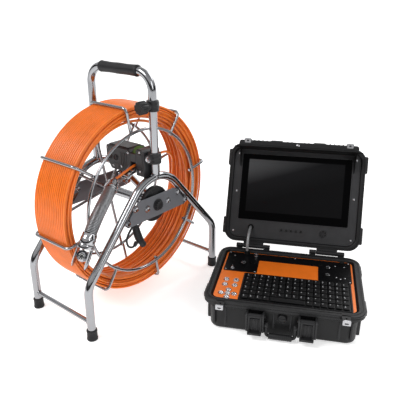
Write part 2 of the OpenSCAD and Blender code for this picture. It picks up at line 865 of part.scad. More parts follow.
module case_handle() {
    reach = latch_x - 21 - 2.5 - 0.5;
    bar_z = 13;
    color(black) at_case() {
        for (s = [-1, 1]) {
            along_x(s > 0 ? reach - 9 : -reach, handle_pivot_y, handle_pivot_z)
                cylinder(h = 9, r = 7.5);
            along_x(s > 0 ? reach - 1 : -reach - 5, handle_pivot_y, handle_pivot_z)
                cylinder(h = 6, r = 4);
            bar([s * (reach - 4.5), handle_pivot_y, handle_pivot_z],
                [s * (reach - 6), handle_pivot_y - 2, bar_z + 4], 9);
        }
        along_x(-reach + 2, handle_pivot_y - 2, bar_z) cylinder(h = 2 * reach - 4, r = 8);
    }
}

module purge_valve() {
    color(black) at_case() {
        along_y(2, -166, 60) cylinder(h = 12, r = 11.9);
        along_y(2, -155, 60) cylinder(h = 11, r = 5);
    }
}

// Push buttons: two rows of two, and a cross of five.
function_places = [[-162, -46], [-135, -46], [-162, -73], [-135, -73]];
cross_middle = [-148, -116];
cross_pitch = 17.5;
cross_places = [for (d = [[0, 1], [-1, 0], [0, 0], [1, 0], [0, -1]]) cross_middle + cross_pitch * d];
button_places = concat(function_places, cross_places);

module push_button(p) {
    color(steel) at_case() translate([p[0], p[1], panel_z]) {
        translate([0, 0, -5]) cylinder(h = 8.5, r = 5);
        translate([0, 0, 1.8]) cylinder(h = 2.2, r = 6.2);
    }
}

module function_button_1() { push_button(button_places[0]); }
module function_button_2() { push_button(button_places[1]); }
module function_button_3() { push_button(button_places[2]); }
module function_button_4() { push_button(button_places[3]); }
module arrow_up() { push_button(button_places[4]); }
module arrow_left() { push_button(button_places[5]); }
module select_button() { push_button(button_places[6]); }
module arrow_right() { push_button(button_places[7]); }
module arrow_down() { push_button(button_places[8]); }

// ---------- lid ----------

module lid_shell() {
    mid = (lid_start + lid_end) / 2;
    rim = 12;
    color(black) at_lid() difference() {
        union() {
            translate([0, mid, -rim]) round_block(case_w, case_d, rim, 36);
            translate([0, mid, -lid_h]) round_block(case_w - 18, case_d - 18, lid_h - rim + 1, 30);
            translate([0, lid_end - 1, -rim]) round_block(368, 24, rim - 1.6, 8);
            for (s = [-1, 1]) {
                translate([s * latch_x - 17, lid_end - 4, -20]) cube([34, 15.5, 16]);
                translate([s * padlock_x - 11, lid_end - 12, -12])
                    cube([22, hinge_y - padlock_y + 8 - lid_end + 12, 9]);
                for (y = [34, 250]) translate([s * 207 - 6, y, -14]) cube([12, 52, 13]);
            }
            for (x = hinge_spans) {
                w = 2 * (hinge_half - knuckle_l - 0.5);
                along_x(x - w / 2, 0, 0) cylinder(h = w, r = 7);
                translate([x - w / 2, 0, -7]) cube([w, 20, 6]);
            }
        }
        translate([0, mid, -lid_h + 5]) round_block(case_w - 28, case_d - 28, lid_h, 26);
        for (x = hinge_spans) along_x(x - 40, 0, 0) cylinder(h = 80, r = pin_r + running_gap);
        for (s = [-1, 1]) translate([s * padlock_x, hinge_y - padlock_y, -20])
            cylinder(h = 30, r = 3.5);
    }
}

module monitor_bezel() {
    mid = (lid_start + lid_end) / 2;
    color(dark_grey) at_lid() difference() {
        union() {
            translate([0, mid, bezel_z - 3]) round_block(case_w - 28.4, case_d - 28.4, 3, 25.8);
            translate([0, mid, -lid_h + 5]) difference() {
                round_block(case_w - 60, case_d - 60, lid_h - 5 + bezel_z - 3, 10);
                translate([0, 0, -1]) round_block(case_w - 66, case_d - 66, lid_h, 8);
            }
        }
        translate([-glass_w / 2 - 0.2, glass_low - 0.2, bezel_z - 2])
            cube([glass_w + 0.4, glass_high - glass_low + 0.4, 4]);
        translate([-screen_w / 2, screen_low, bezel_z - 8])
            cube([screen_w, screen_w * 9 / 16, 12]);
        translate([-125, 59, bezel_z - 6]) cylinder(h = 12, r = 6);
        for (k = [0 : 4]) translate([-30 + 15 * k, 57, bezel_z - 6])
            cylinder(h = 12, r = 3.5 + running_gap);
    }
}

module display_glass() {
    color([0.02, 0.02, 0.025]) at_lid() translate([-glass_w / 2, glass_low, bezel_z - 2])
        cube([glass_w, glass_high - glass_low, 2.4]);
}

module monitor_buttons() {
    color(black) at_lid() for (k = [0 : 4])
        translate([-30 + 15 * k, 57, bezel_z - 2.5]) cylinder(h = 4, r = 3.5);
}

module sunshade_flap() {
    wide = flap_half_w + flap_flare;
    color(black) at_lid() {
        translate([0, flap_y + flap_t / 2, flap_z]) rotate([90, 0, 0])
            linear_extrude(flap_t) polygon([[-flap_half_w, 0], [flap_half_w, 0],
                [wide, flap_l], [-wide, flap_l]]);
        along_x(-flap_half_w, flap_y, flap_z) cylinder(h = 2 * flap_half_w, r = 1.5);
    }
}

module sunshade_gussets() {
    foot = bezel_z + 0.5;
    back = flap_y - flap_t / 2 - 0.5;
    color(black) at_lid() for (s = [-1, 1])
        translate([s > 0 ? flap_half_w - 3.5 : 2 - flap_half_w, 0, 0])
            rotate([90, 0, 90]) linear_extrude(1.5) polygon([
                [back, foot], [back, flap_z + flap_l], [back - gusset_l, foot]]);
}

module lid_cable() {
    color(steel) at_case() sweep(smooth_route(cable_route, 3), 4, 10);
}

// ---------- drawing ----------

arch_near();
arch_far();
crossbars();
carry_handle();
handle_grip();
rubber_feet();
side_plates();
plate_bolts();
axle_shaft();
axle_nuts();
slip_ring_cover();
clamp_collar();
clamp_knob();
counter_bracket();
counter_housing();
measuring_wheel();
pressure_roller();
tension_knob();
push_rod_lead();
spring_couplings();
camera_spring();
camera_fork();
camera_ball();
output_lead();
output_plug();
hub_tube();
hub_bearings();
hoop_near();
hoop_far();
cage_brackets();
spokes();
push_rod_coil();
base_shell();
case_feet();
control_panel();
black_inlays();
keyboard_keys();
panel_sockets();
hinge_pins();
battery_pack();
latch_left();
latch_right();
case_handle();
purge_valve();
function_button_1();
function_button_2();
function_button_3();
function_button_4();
arrow_up();
arrow_left();
select_button();
arrow_right();
arrow_down();
lid_shell();
monitor_bezel();
display_glass();
monitor_buttons();
sunshade_flap();
sunshade_gussets();
lid_cable();
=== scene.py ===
import json
import math
import random

import bmesh
import bpy
from mathutils import Matrix, Vector


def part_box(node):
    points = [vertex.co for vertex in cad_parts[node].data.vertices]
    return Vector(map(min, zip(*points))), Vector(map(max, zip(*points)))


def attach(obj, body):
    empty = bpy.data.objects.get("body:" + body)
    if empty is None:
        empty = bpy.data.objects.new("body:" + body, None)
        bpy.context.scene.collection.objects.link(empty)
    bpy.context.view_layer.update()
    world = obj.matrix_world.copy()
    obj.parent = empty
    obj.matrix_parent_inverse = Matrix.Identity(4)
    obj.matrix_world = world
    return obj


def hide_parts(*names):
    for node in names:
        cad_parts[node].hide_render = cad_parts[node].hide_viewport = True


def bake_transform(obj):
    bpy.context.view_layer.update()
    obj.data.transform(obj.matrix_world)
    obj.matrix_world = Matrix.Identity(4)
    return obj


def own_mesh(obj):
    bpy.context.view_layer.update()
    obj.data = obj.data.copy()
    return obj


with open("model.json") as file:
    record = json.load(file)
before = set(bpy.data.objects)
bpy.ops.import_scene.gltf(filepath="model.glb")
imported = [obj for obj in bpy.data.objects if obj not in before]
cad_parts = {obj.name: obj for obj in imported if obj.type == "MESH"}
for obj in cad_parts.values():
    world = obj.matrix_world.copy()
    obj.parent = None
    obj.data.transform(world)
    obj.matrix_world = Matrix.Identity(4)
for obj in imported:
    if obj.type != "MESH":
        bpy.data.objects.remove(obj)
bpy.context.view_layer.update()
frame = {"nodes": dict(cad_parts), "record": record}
NODES = frame["nodes"]
scene = bpy.context.scene
MM = 0.001


def middle(node):
    low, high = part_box(node)
    return (low + high) / 2


# The reel's and the case's own frames, in metres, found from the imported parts.
REEL = Matrix.Translation((middle("axle_shaft").x, middle("axle_shaft").y, 0))
CASE_TURN = math.radians(27)
LID_TILT = math.radians(65)
HINGE_Y, HINGE_Z = 155, 97
feet = middle("case_feet")
CASE_TURNED = Matrix.Rotation(CASE_TURN, 4, "Z")
CASE = Matrix.Translation(Vector((feet.x, feet.y, 0))) @ CASE_TURNED @ Matrix.Translation((0, 0.012, 0))
LID = CASE @ Matrix.Translation((0, HINGE_Y * MM, HINGE_Z * MM)) @ Matrix.Rotation(LID_TILT, 4, "X")


# ---------- camera ----------

camera = bpy.data.objects.new("camera", bpy.data.cameras.new("camera"))
scene.collection.objects.link(camera)
camera.data.sensor_width = 36
camera.data.lens = 46.3
camera.data.clip_start = 0.05
camera.location = REEL @ Vector((1.0298, -0.9253, 0.8417))
pitch = math.radians(22.35)
aim = Vector((-0.634 * math.cos(pitch), 0.774 * math.cos(pitch), -math.sin(pitch)))
camera.rotation_euler = aim.to_track_quat("-Z", "Y").to_euler()
scene.camera = camera


# ---------- materials ----------

MATERIALS = {}


def material(name, colour, rough, metallic=0.0, grain=60, variation=0.0, rough_var=0.08,
             bump=0.0, bump_scale=400, coat=0.0, sheen=0.0, wear=0.0, wear_colour=(0.5, 0.5, 0.5), specular=0.5):
    """A surface with uneven colour and gloss and a fine relief, all from noise."""
    m = bpy.data.materials.new(name)
    m.use_nodes = True
    nodes, links = m.node_tree.nodes, m.node_tree.links
    nodes.clear()
    out = nodes.new("ShaderNodeOutputMaterial")
    shader = nodes.new("ShaderNodeBsdfPrincipled")
    links.new(shader.outputs[0], out.inputs[0])
    place = nodes.new("ShaderNodeTexCoord").outputs["Object"]
    shader.inputs["Metallic"].default_value = metallic
    shader.inputs["Coat Weight"].default_value = coat
    shader.inputs["Coat Roughness"].default_value = 0.15
    shader.inputs["Sheen Weight"].default_value = sheen
    shader.inputs["Specular IOR Level"].default_value = specular

    noise = nodes.new("ShaderNodeTexNoise")
    noise.inputs["Scale"].default_value = grain
    noise.inputs["Detail"].default_value = 5
    links.new(place, noise.inputs["Vector"])

    ramp = nodes.new("ShaderNodeValToRGB")
    ramp.color_ramp.elements[0].position = 0.3
    ramp.color_ramp.elements[1].position = 0.7
    dark = [c * (1 - variation) for c in colour]
    light = [min(1.0, c * (1 + variation)) for c in colour]
    ramp.color_ramp.elements[0].color = (*dark, 1)
    ramp.color_ramp.elements[1].color = (*light, 1)
    links.new(noise.outputs["Fac"], ramp.inputs["Fac"])
    colour_out = ramp.outputs["Color"]

    if wear:
        edge = nodes.new("ShaderNodeNewGeometry")
        sharp = nodes.new("ShaderNodeMapRange")
        sharp.inputs["From Min"].default_value = 0.52
        sharp.inputs["From Max"].default_value = 0.60
        links.new(edge.outputs["Pointiness"], sharp.inputs["Value"])
        amount = nodes.new("ShaderNodeMath")
        amount.operation = "MULTIPLY"
        links.new(sharp.outputs[0], amount.inputs[0])
        amount.inputs[1].default_value = wear
        mix = nodes.new("ShaderNodeMix")
        mix.data_type = "RGBA"
        links.new(amount.outputs[0], mix.inputs["Factor"])
        links.new(colour_out, mix.inputs["A"])
        mix.inputs["B"].default_value = (*wear_colour, 1)
        colour_out = mix.outputs["Result"]
    links.new(colour_out, shader.inputs["Base Color"])

    gloss = nodes.new("ShaderNodeMapRange")
    gloss.inputs["To Min"].default_value = max(0.02, rough - rough_var)
    gloss.inputs["To Max"].default_value = min(1.0, rough + rough_var)
    links.new(noise.outputs["Fac"], gloss.inputs["Value"])
    links.new(gloss.outputs[0], shader.inputs["Roughness"])

    if bump:
        fine = nodes.new("ShaderNodeTexNoise")
        fine.inputs["Scale"].default_value = bump_scale
        fine.inputs["Detail"].default_value = 3
        links.new(place, fine.inputs["Vector"])
        relief = nodes.new("ShaderNodeBump")
        relief.inputs["Strength"].default_value = bump
        relief.inputs["Distance"].default_value = 0.0006
        links.new(fine.outputs["Fac"], relief.inputs["Height"])
        links.new(relief.outputs[0], shader.inputs["Normal"])
    MATERIALS[name] = m


material("stainless", (0.34, 0.345, 0.36), 0.15, 1.0, grain=12, variation=0.05, rough_var=0.03)
material("polished_steel", (0.42, 0.42, 0.435), 0.15, 1.0, grain=60, variation=0.06, rough_var=0.04)
material("steel_mesh", (0.36, 0.365, 0.38), 0.33, 1.0, grain=160, variation=0.18, rough_var=0.08,
         bump=0.1, bump_scale=1500)
material("plate_grey", (0.085, 0.09, 0.105), 0.42, 0.25, grain=90, variation=0.08, bump=0.12,
         bump_scale=1600, wear=0.5, wear_colour=(0.35, 0.36, 0.38))
material("black_rubber", (0.010, 0.010, 0.0115),
        0.5, specular=0.3, grain=70, variation=0.2, bump=0.2, bump_scale=1400,
         wear=0.25, wear_colour=(0.07, 0.07, 0.07))
material("black_moulding", (0.008, 0.008, 0.0095), 0.38, specular=0.35, grain=80, variation=0.2, bump=0.14,
         bump_scale=1800, wear=0.3, wear_colour=(0.08, 0.08, 0.085))
material("wheel_green", (0.11, 0.27, 0.06), 0.5, grain=120, variation=0.2, bump=0.3, bump_scale=900)
material("rod_orange", (0.89, 0.20, 0.018), 0.34, grain=45, variation=0.07, rough_var=0.07, bump=0.06,
         bump_scale=700, coat=0.15)
material("case_black", (0.0065, 0.0065, 0.007), 0.42, specular=0.26, grain=60, variation=0.15, bump=0.28,
         bump_scale=2200, wear=0.35, wear_colour=(0.045, 0.045, 0.048))
material("panel_orange", (0.80, 0.165, 0.008), 0.4, 0.15, grain=50, variation=0.05, bump=0.1,
         bump_scale=2000)
material("inlay_black", (0.0025, 0.0025, 0.003),
        0.3, specular=0.14, grain=60, variation=0.2, bump=0.1, bump_scale=2000)
material("key_black", (0.003, 0.003, 0.0035),
        0.45, specular=0.16, grain=120, variation=0.2, bump=0.15, bump_scale=2500,
         wear=0.2, wear_colour=(0.03, 0.03, 0.03))
material("socket_metal", (0.5, 0.5, 0.52), 0.24, 1.0, grain=120, variation=0.08, bump=0.05)
material("battery_grey", (0.06, 0.06, 0.07), 0.5, grain=70, variation=0.2, bump=0.2)
material("button_metal", (0.74, 0.74, 0.76), 0.16, 1.0, grain=140, variation=0.08, bump=0.05)
material("bezel_grey", (0.026, 0.026, 0.028),
        0.48, specular=0.3, grain=40, variation=0.12, bump=0.25, bump_scale=2400)
material("button_black", (0.004, 0.004, 0.004), 0.4, specular=0.3, grain=100, variation=0.2, bump=0.1)
material("hood_fabric", (0.0022, 0.0022, 0.0024), 0.8, grain=300, variation=0.25, bump=0.5,
         bump_scale=1300, sheen=0.02, specular=0.06)
material("cable_sleeve", (0.30, 0.31, 0.32), 0.36, 0.4, grain=150, variation=0.15, bump=0.2,
         bump_scale=1500)
material("legend", (0.75, 0.76, 0.78), 0.5, grain=200, variation=0.05)
material("lens_black", (0.004, 0.004, 0.006), 0.06, grain=60, variation=0.1, coat=1.0)
material("led_white", (0.85, 0.86, 0.8), 0.25, grain=200, variation=0.04, coat=0.6)
material("gasket_black", (0.003, 0.003, 0.003), 0.6, specular=0.15, grain=120, variation=0.2, bump=0.2)
# Painted shade for the gaps between the rod's turns.
material("rod_shadow", (0.05, 0.010, 0.002), 0.6, grain=60, variation=0.15, bump=0.1)
material("screen_glass", (0.0012, 0.0012, 0.0014), 0.14, grain=12, variation=0.05, rough_var=0.03,
         specular=0.025)


def lcd_painted_reflection_material():
    """The display's active area, with a painted reflection of a lit room: its colour grows lighter towards one top
    corner.
    """
    m = bpy.data.materials.new("lcd_face")
    m.use_nodes = True
    nodes, links = m.node_tree.nodes, m.node_tree.links
    shader = nodes["Principled BSDF"]
    shader.inputs["Roughness"].default_value = 0.25
    shader.inputs["Specular IOR Level"].default_value = 0.03
    place = nodes.new("ShaderNodeTexCoord")
    split = nodes.new("ShaderNodeSeparateXYZ")
    links.new(place.outputs["Generated"], split.inputs[0])
    total = nodes.new("ShaderNodeMath")
    total.operation = "MULTIPLY_ADD"
    links.new(split.outputs["X"], total.inputs[0])
    total.inputs[1].default_value = -0.75
    links.new(split.outputs["Z"], total.inputs[2])
    # The ramp's stops are the painted reflection, from near black up to grey at the corner.
    ramp = nodes.new("ShaderNodeValToRGB")
    e = ramp.color_ramp.elements
    e[0].position, e[0].color = 0.0, (0.006, 0.006, 0.0065, 1)
    e[1].position, e[1].color = 0.95, (0.085, 0.087, 0.090, 1)
    mid = e.new(0.45)
    mid.color = (0.011, 0.011, 0.012, 1)
    links.new(total.outputs[0], ramp.inputs["Fac"])
    links.new(ramp.outputs["Color"], shader.inputs["Base Color"])
    MATERIALS["lcd_face"] = m


lcd_painted_reflection_material()


# ---------- mesh helpers ----------

class Shape:
    """Gathers vertices and faces in millimetres, and makes one object of them in metres."""

    def __init__(self):
        self.v, self.f, self.m = [], [], []
        self.slot = 0

    def add(self, verts, faces, at=None):
        base = len(self.v)
        for p in verts:
            p = Vector(p)
            self.v.append(at @ p if at is not None else p)
        self.f += [tuple(base + i for i in face) for face in faces]
        self.m += [self.slot] * len(faces)
        return self

    def loft(self, rings, at=None, closed=False, caps=True):
        n = len(rings[0])
        count = len(rings)
        faces = []
        for i in range(count if closed else count - 1):
            a, b = i * n, ((i + 1) % count) * n
            faces += [(a + k, a + (k + 1) % n, b + (k + 1) % n, b + k) for k in range(n)]
        if caps and not closed:
            faces += [tuple(reversed(range(n))), tuple(range((count - 1) * n, count * n))]
        return self.add([p for r in rings for p in r], faces, at)

    def lathe(self, profile, sides=32, at=None, closed=False):
        """Turns (radius, height) points about Z. Radius 0 at an end closes it."""
        rings = [[(max(r, 0.001) * math.cos(2 * math.pi * k / sides),
                   max(r, 0.001) * math.sin(2 * math.pi * k / sides), z) for k in range(sides)]
                 for r, z in profile]
        return self.loft(rings, at, closed, caps=not closed)

    def prism(self, outline, z0, z1, at=None, edge=0.0):
        """An upright prism, with a small chamfer all round both ends."""
        if not edge:
            return self.loft([[(x, y, z) for x, y in outline] for z in (z0, z1)], at)
        small = inset(outline, edge)
        rings = [[(x, y, z0) for x, y in small], [(x, y, z0 + edge) for x, y in outline],
                 [(x, y, z1 - edge) for x, y in outline], [(x, y, z1) for x, y in small]]
        return self.loft(rings, at)

    def block(self, low, high, at=None, edge=0.8):
        """A box with chamfered edges all round."""
        e = min(edge, *[(b - a) / 2.01 for a, b in zip(low, high)])
        outline = [(low[0] + e, low[1]), (high[0] - e, low[1]), (high[0], low[1] + e),
                   (high[0], high[1] - e), (high[0] - e, high[1]), (low[0] + e, high[1]),
                   (low[0], high[1] - e), (low[0], low[1] + e)]
        return self.prism(outline, low[2], high[2], at, e)

    def sweep(self, path, radius, sides=12, closed=False, at=None):
        """A round bar along a path, its rings turned as little as possible from one to the next."""
        pts = [Vector(p) for p in path]
        n = len(pts)
        tangents = []
        for i in range(n):
            a = pts[i - 1] if (i > 0 or closed) else pts[i]
            b = pts[(i + 1) % n] if (i + 1 < n or closed) else pts[i]
            tangents.append((b - a).normalized())
        ref = tangents[0].orthogonal().normalized()
        frames = []
        for i in range(n):
            if i:
                turn = tangents[i - 1].rotation_difference(tangents[i])
                ref = turn @ ref
            ref = (ref - tangents[i] * ref.dot(tangents[i])).normalized()
            frames.append((ref.copy(), tangents[i].cross(ref)))
        twist = 0.0
        if closed:
            back = tangents[-1].rotation_difference(tangents[0]) @ frames[-1][0]
            twist = math.atan2(back.dot(frames[0][1]), back.dot(frames[0][0]))
        rings = []
        for i in range(n):
            u, w = frames[i]
            r = radius[i] if isinstance(radius, (list, tuple)) else radius
            turn = -twist * i / n
            rings.append([pts[i] + r * (math.cos(2 * math.pi * k / sides + turn) * u
                                        + math.sin(2 * math.pi * k / sides + turn) * w)
                          for k in range(sides)])
        return self.loft(rings, at, closed)

    def make(self, name, body, slots, sharp=35, replace=(), bevel=0.0):
        mesh = bpy.data.meshes.new(name)
        mesh.from_pydata([p * MM for p in self.v], [], self.f)
        slots = [slots] if isinstance(slots, str) else slots
        for s in slots:
            mesh.materials.append(MATERIALS[s])
        mesh.polygons.foreach_set("material_index", self.m)
        bm = bmesh.new()
        bm.from_mesh(mesh)
        bmesh.ops.recalc_face_normals(bm, faces=bm.faces)
        limit = math.radians(sharp)
        for f in bm.faces:
            f.smooth = True
        for e in bm.edges:
            if len(e.link_faces) == 2:
                e.smooth = e.calc_face_angle(0) < limit
        bm.to_mesh(mesh)
        bm.free()
        obj = bpy.data.objects.new(name, mesh)
        scene.collection.objects.link(obj)
        if bevel:
            mod = obj.modifiers.new("bevel", "BEVEL")
            mod.width = bevel * MM
            mod.segments = 2
            mod.limit_method = "ANGLE"
            mod.angle_limit = math.radians(40)
        if body:
            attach(obj, body)
        if replace:
            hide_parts(*replace)
        return obj


def inset(outline, e):
    """Moves a convex outline, given anticlockwise, inwards by e."""
    n = len(outline)
    result = []
    for i in range(n):
        p, q, r = (Vector(outline[(i + k) % n]) for k in (-1, 0, 1))
        a, b = (q - p).normalized(), (r - q).normalized()
        na, nb = Vector((-a.y, a.x)), Vector((-b.y, b.x))
        bisector = (na + nb)
        bisector = bisector / max(0.2, bisector.length_squared / 2)
        result.append(tuple(q + bisector * e))
    return result


def round_rect(w, d, r, cx=0.0, cy=0.0, seg=6):
    """An anticlockwise rectangle with round corners, of half width w and half depth d."""
    pts = []
    r = min(r, w - 0.01, d - 0.01)
    for k, (sx, sy) in enumerate([(1, -1), (1, 1), (-1, 1), (-1, -1)]):
        for j in range(seg + 1):
            a = math.radians(-90 + 90 * k + 90 * j / seg)
            pts.append((cx + sx * (w - r) + r * math.cos(a), cy + sy * (d - r) + r * math.sin(a)))
    return pts


def pin(s, r, half, sides, at, edge=0.8):
    """A round bar about the frame's Z, chamfered at both ends."""
    s.lathe([(0, -half), (r - edge, -half), (r, edge - half), (r, half - edge), (r - edge, half), (0, half)],
            sides, at)


def circle(r, n=32, cx=0.0, cy=0.0):
    return [(cx + r * math.cos(2 * math.pi * k / n), cy + r * math.sin(2 * math.pi * k / n))
            for k in range(n)]


def level(outline, z):
    return [(x, y, z) for x, y in outline]


def moved(x=0, y=0, z=0):
    return Matrix.Translation((x, y, z))


def turned(axis, degrees):
    return Matrix.Rotation(math.radians(degrees), 4, axis)


def in_mm(m):
    """A frame in metres, for points given in millimetres."""
    t = m.copy()
    t.translation = m.translation / MM
    return t


REEL_MM, CASE_MM, LID_MM = in_mm(REEL), in_mm(CASE), in_mm(LID)
AXLE_Z = 298
AXLE = REEL_MM @ moved(0, 0, AXLE_Z)
TO_X, TO_Y = turned("Y", 90), turned("X", 90)


def in_reel(x, y, z):
    return REEL_MM @ moved(x, y, z)


def in_case(x, y, z):
    return CASE_MM @ moved(x, y, z)


def in_lid(x, y, z):
    return LID_MM @ moved(x, y, z)


def along(a, b):
    """A frame whose +Z runs from a to b, with its origin at a."""
    a, b = Vector(a), Vector(b)
    return moved(*a) @ (b - a).to_track_quat("Z", "Y").to_matrix().to_4x4()


def catmull(points, steps):
    p = [Vector(q) for q in points]
    result = []
    for i in range(len(p) - 1):
        a = p[i - 1] if i else 2 * p[0] - p[1]
        b, c = p[i], p[i + 1]
        d = p[i + 2] if i + 2 < len(p) else 2 * p[i + 1] - p[i]
        for k in range(steps):
            t = k / steps
            result.append(0.5 * (2 * b + (c - a) * t + (2 * a - 5 * b + 4 * c - d) * t * t
                                 + (3 * b - a - 3 * c + d) * t ** 3))
    result.append(p[-1])
    return result


def rounded_path(corners, radii, step=6.0):
    """Straight runs joined by arcs: corners are points, radii the bend at each inner one."""
    p = [Vector(c) for c in corners]
    path = [p[0]]
    for i in range(1, len(p) - 1):
        a, b = (p[i - 1] - p[i]).normalized(), (p[i + 1] - p[i]).normalized()
        half = a.angle(b) / 2
        r = radii[i - 1]
        cut = r / math.tan(half)
        centre = p[i] + (a + b).normalized() * (r / math.sin(half))
        start, end = p[i] + a * cut - centre, p[i] + b * cut - centre
        turn = start.angle(end)
        n = max(4, int(turn / math.radians(step)))
        axis = start.cross(end).normalized()
        for k in range(n + 1):
            path.append(centre + Matrix.Rotation(turn * k / n, 3, axis) @ start)
    path.append(p[-1])
    return path


def dense(path, most=30.0):
    """Adds points so that no step is longer than most, which keeps long bars evenly shaded."""
    result = [Vector(path[0])]
    for a, b in zip(path, path[1:]):
        a, b = Vector(a), Vector(b)
        n = max(1, math.ceil((b - a).length / most))
        result += [a + (b - a) * (k + 1) / n for k in range(n)]
    return result


# ---------- reel stand ----------

TUBE_R = 11
ARCH_X, FOOT_Y, KNEE_Z, ARCH_SLOPE, KNEE_R, ARCH_TOP_R = 117, 251, 150, 48, 60, 104
HANDLE_Z, HANDLE_R = 650, 48
GRIP_HALF, GRIP_R = 72, 14


def arch_route(x):
    rise = math.tan(math.radians(ARCH_SLOPE))
    apex = KNEE_Z + FOOT_Y * rise
    corners = [(x, -FOOT_Y, 5), (x, -FOOT_Y, KNEE_Z), (x, 0, apex), (x, FOOT_Y, KNEE_Z), (x, FOOT_Y, 5)]
    return dense(rounded_path(corners, [KNEE_R, ARCH_TOP_R, KNEE_R], step=3))


ARCH_APEX = max(p.z for p in arch_route(0))
for name, x in (("arch_near", ARCH_X), ("arch_far", -ARCH_X)):
    s = Shape()
    s.sweep(arch_route(x), TUBE_R, 28, at=REEL_MM)
    for side in (-1, 1):
        # The flat lug inside the tube that carries the side plate.
        lug = in_reel(x, side * 97, 295.5) @ turned("X", -side * ARCH_SLOPE) @ TO_X
        s.block((-9, -27, -2), (12, 27, 2), lug, 0.8)
    s.make(name + "_tube", "reel_frame", "stainless", replace=(name,))


def weld(shape, at, r, bead=2.2, sides=32):
    """A rippled weld bead round a joint, about the frame's Z."""
    ring = [(r * math.cos(2 * math.pi * k / sides), r * math.sin(2 * math.pi * k / sides),
             0.4 * (k % 2)) for k in range(sides)]
    shape.sweep(ring, bead, 8, closed=True, at=at)


s = Shape()
for side in (-1, 1):
    s.sweep(dense([(-ARCH_X + 8, side * FOOT_Y, 49), (ARCH_X - 8, side * FOOT_Y, 49)]), 6, 20, at=REEL_MM)
    for x in (-1, 1):
        weld(s, in_reel(x * (ARCH_X - 10.5), side * FOOT_Y, 49) @ TO_X, 6.4, 1.6, 24)
s.make("crossbars_tube", "reel_frame", "stainless", replace=("crossbars",))

s = Shape()
route = rounded_path([(-ARCH_X, 0, ARCH_APEX + 8), (-ARCH_X, 0, HANDLE_Z), (ARCH_X, 0, HANDLE_Z),
                      (ARCH_X, 0, ARCH_APEX + 8)], [HANDLE_R, HANDLE_R], step=3)
s.sweep(dense(route), TUBE_R, 28, at=REEL_MM)
for x in (-ARCH_X, ARCH_X):
    ring = []
    for k in range(40):
        a = 2 * math.pi * k / 40
        dx, dy = 11.6 * math.cos(a), 11.6 * math.sin(a)
        drop = math.sqrt(max(0, 11.6 ** 2 - dx * dx))
        ring.append((x + dx, dy, ARCH_APEX + drop - dy * dy / (2 * ARCH_TOP_R) + 0.3 * (k % 2)))
    s.sweep(ring, 1.7, 8, closed=True, at=REEL_MM)
s.make("carry_handle_tube", "reel_frame", "stainless", replace=("carry_handle",))

# Rubber grip: a soft sleeve with rolled ends and shallow finger lands.
s = Shape()
profile = [(TUBE_R + 0.1, -GRIP_HALF), (GRIP_R - 1.6, -GRIP_HALF), (GRIP_R, -GRIP_HALF + 1.5),
           (GRIP_R + 1.3, -GRIP_HALF + 4), (GRIP_R + 0.9, -GRIP_HALF + 8)]
for k in range(13):
    z = -GRIP_HALF + 14 + k * (2 * GRIP_HALF - 28) / 12
    profile.append((GRIP_R + 0.15 + 0.35 * math.cos(k * math.pi / 3), z))
profile += [(GRIP_R + 0.9, GRIP_HALF - 8), (GRIP_R + 1.3, GRIP_HALF - 4), (GRIP_R, GRIP_HALF - 1.5),
            (GRIP_R - 1.6, GRIP_HALF), (TUBE_R + 0.1, GRIP_HALF)]
s.lathe(profile, 40, in_reel(0, 0, HANDLE_Z) @ TO_X)
s.make("handle_grip_rubber", "reel_frame", "black_rubber", sharp=50, replace=("handle_grip",))

# Rubber caps, with a rib round the top and a wider foot.
s = Shape()
for sx in (-1, 1):
    for sy in (-1, 1):
        s.lathe([(0, 0), (12.6, 0), (14.2, 0.8), (14.6, 2.4), (14.4, 6), (13.7, 7.4), (13.4, 21), (13.5, 24),
                 (14.1, 24.6), (14.1, 28.6), (13.6, 29.6), (11.2, 30), (11.1, 28)], 36,
                in_reel(sx * ARCH_X, sy * FOOT_Y, 0))
s.make("rubber_caps", "reel_frame", "black_rubber", replace=("rubber_feet",))

# Side plates with rounded corners, and the bolts' washers.
PLATE_IN = 119
outline = [(-123, 266), (123, 266), (70, 327), (-70, 327)]


def round_corners(points, r, seg=5):
    n = len(points)
    result = []
    for i in range(n):
        p, q, w = (Vector(points[(i + k) % n]) for k in (-1, 0, 1))
        a, b = (p - q).normalized(), (w - q).normalized()
        half = a.angle(b) / 2
        cut = r / math.tan(half)
        centre = q + (a + b).normalized() * (r / math.sin(half))
        start, end = q + a * cut - centre, q + b * cut - centre
        turn = start.angle_signed(end)
        for k in range(seg + 1):
            t = -turn * k / seg
            result.append(tuple(centre + Vector((start.x * math.cos(t) - start.y * math.sin(t),
                                                 start.x * math.sin(t) + start.y * math.cos(t)))))
    return result


plate = round_corners(outline, 7)
s = Shape()
UPRIGHT = turned("Z", 90) @ TO_Y
for side in (-1, 1):
    z0 = PLATE_IN if side > 0 else -PLATE_IN - 4
    s.prism(plate, z0, z0 + 4, REEL_MM @ UPRIGHT, 0.6)
s.make("side_plate_pair", "reel_frame", "plate_grey", replace=("side_plates",))

BOLTS = [(82, 311), (112, 280)]


def hex_head(shape, at, across=7.2, height=5.0):
    """A hexagon head with a turned top, a washer under it and a dimple in its middle."""
    shape.lathe([(0, 0), (across + 2.2, 0), (across + 2.4, 0.3), (across + 2.2, 1.1), (0, 1.1)], 28, at)
    hexa = [(across * math.cos(math.radians(60 * k)), across * math.sin(math.radians(60 * k)))
            for k in range(6)]
    shape.prism(hexa, 1.0, height, at, 0.5)
    shape.lathe([(0, height + 0.5), (2.4, height + 0.5), (across * 0.78, height + 0.2),
                 (across * 0.80, height - 0.4), (0, height - 0.4)], 24, at)


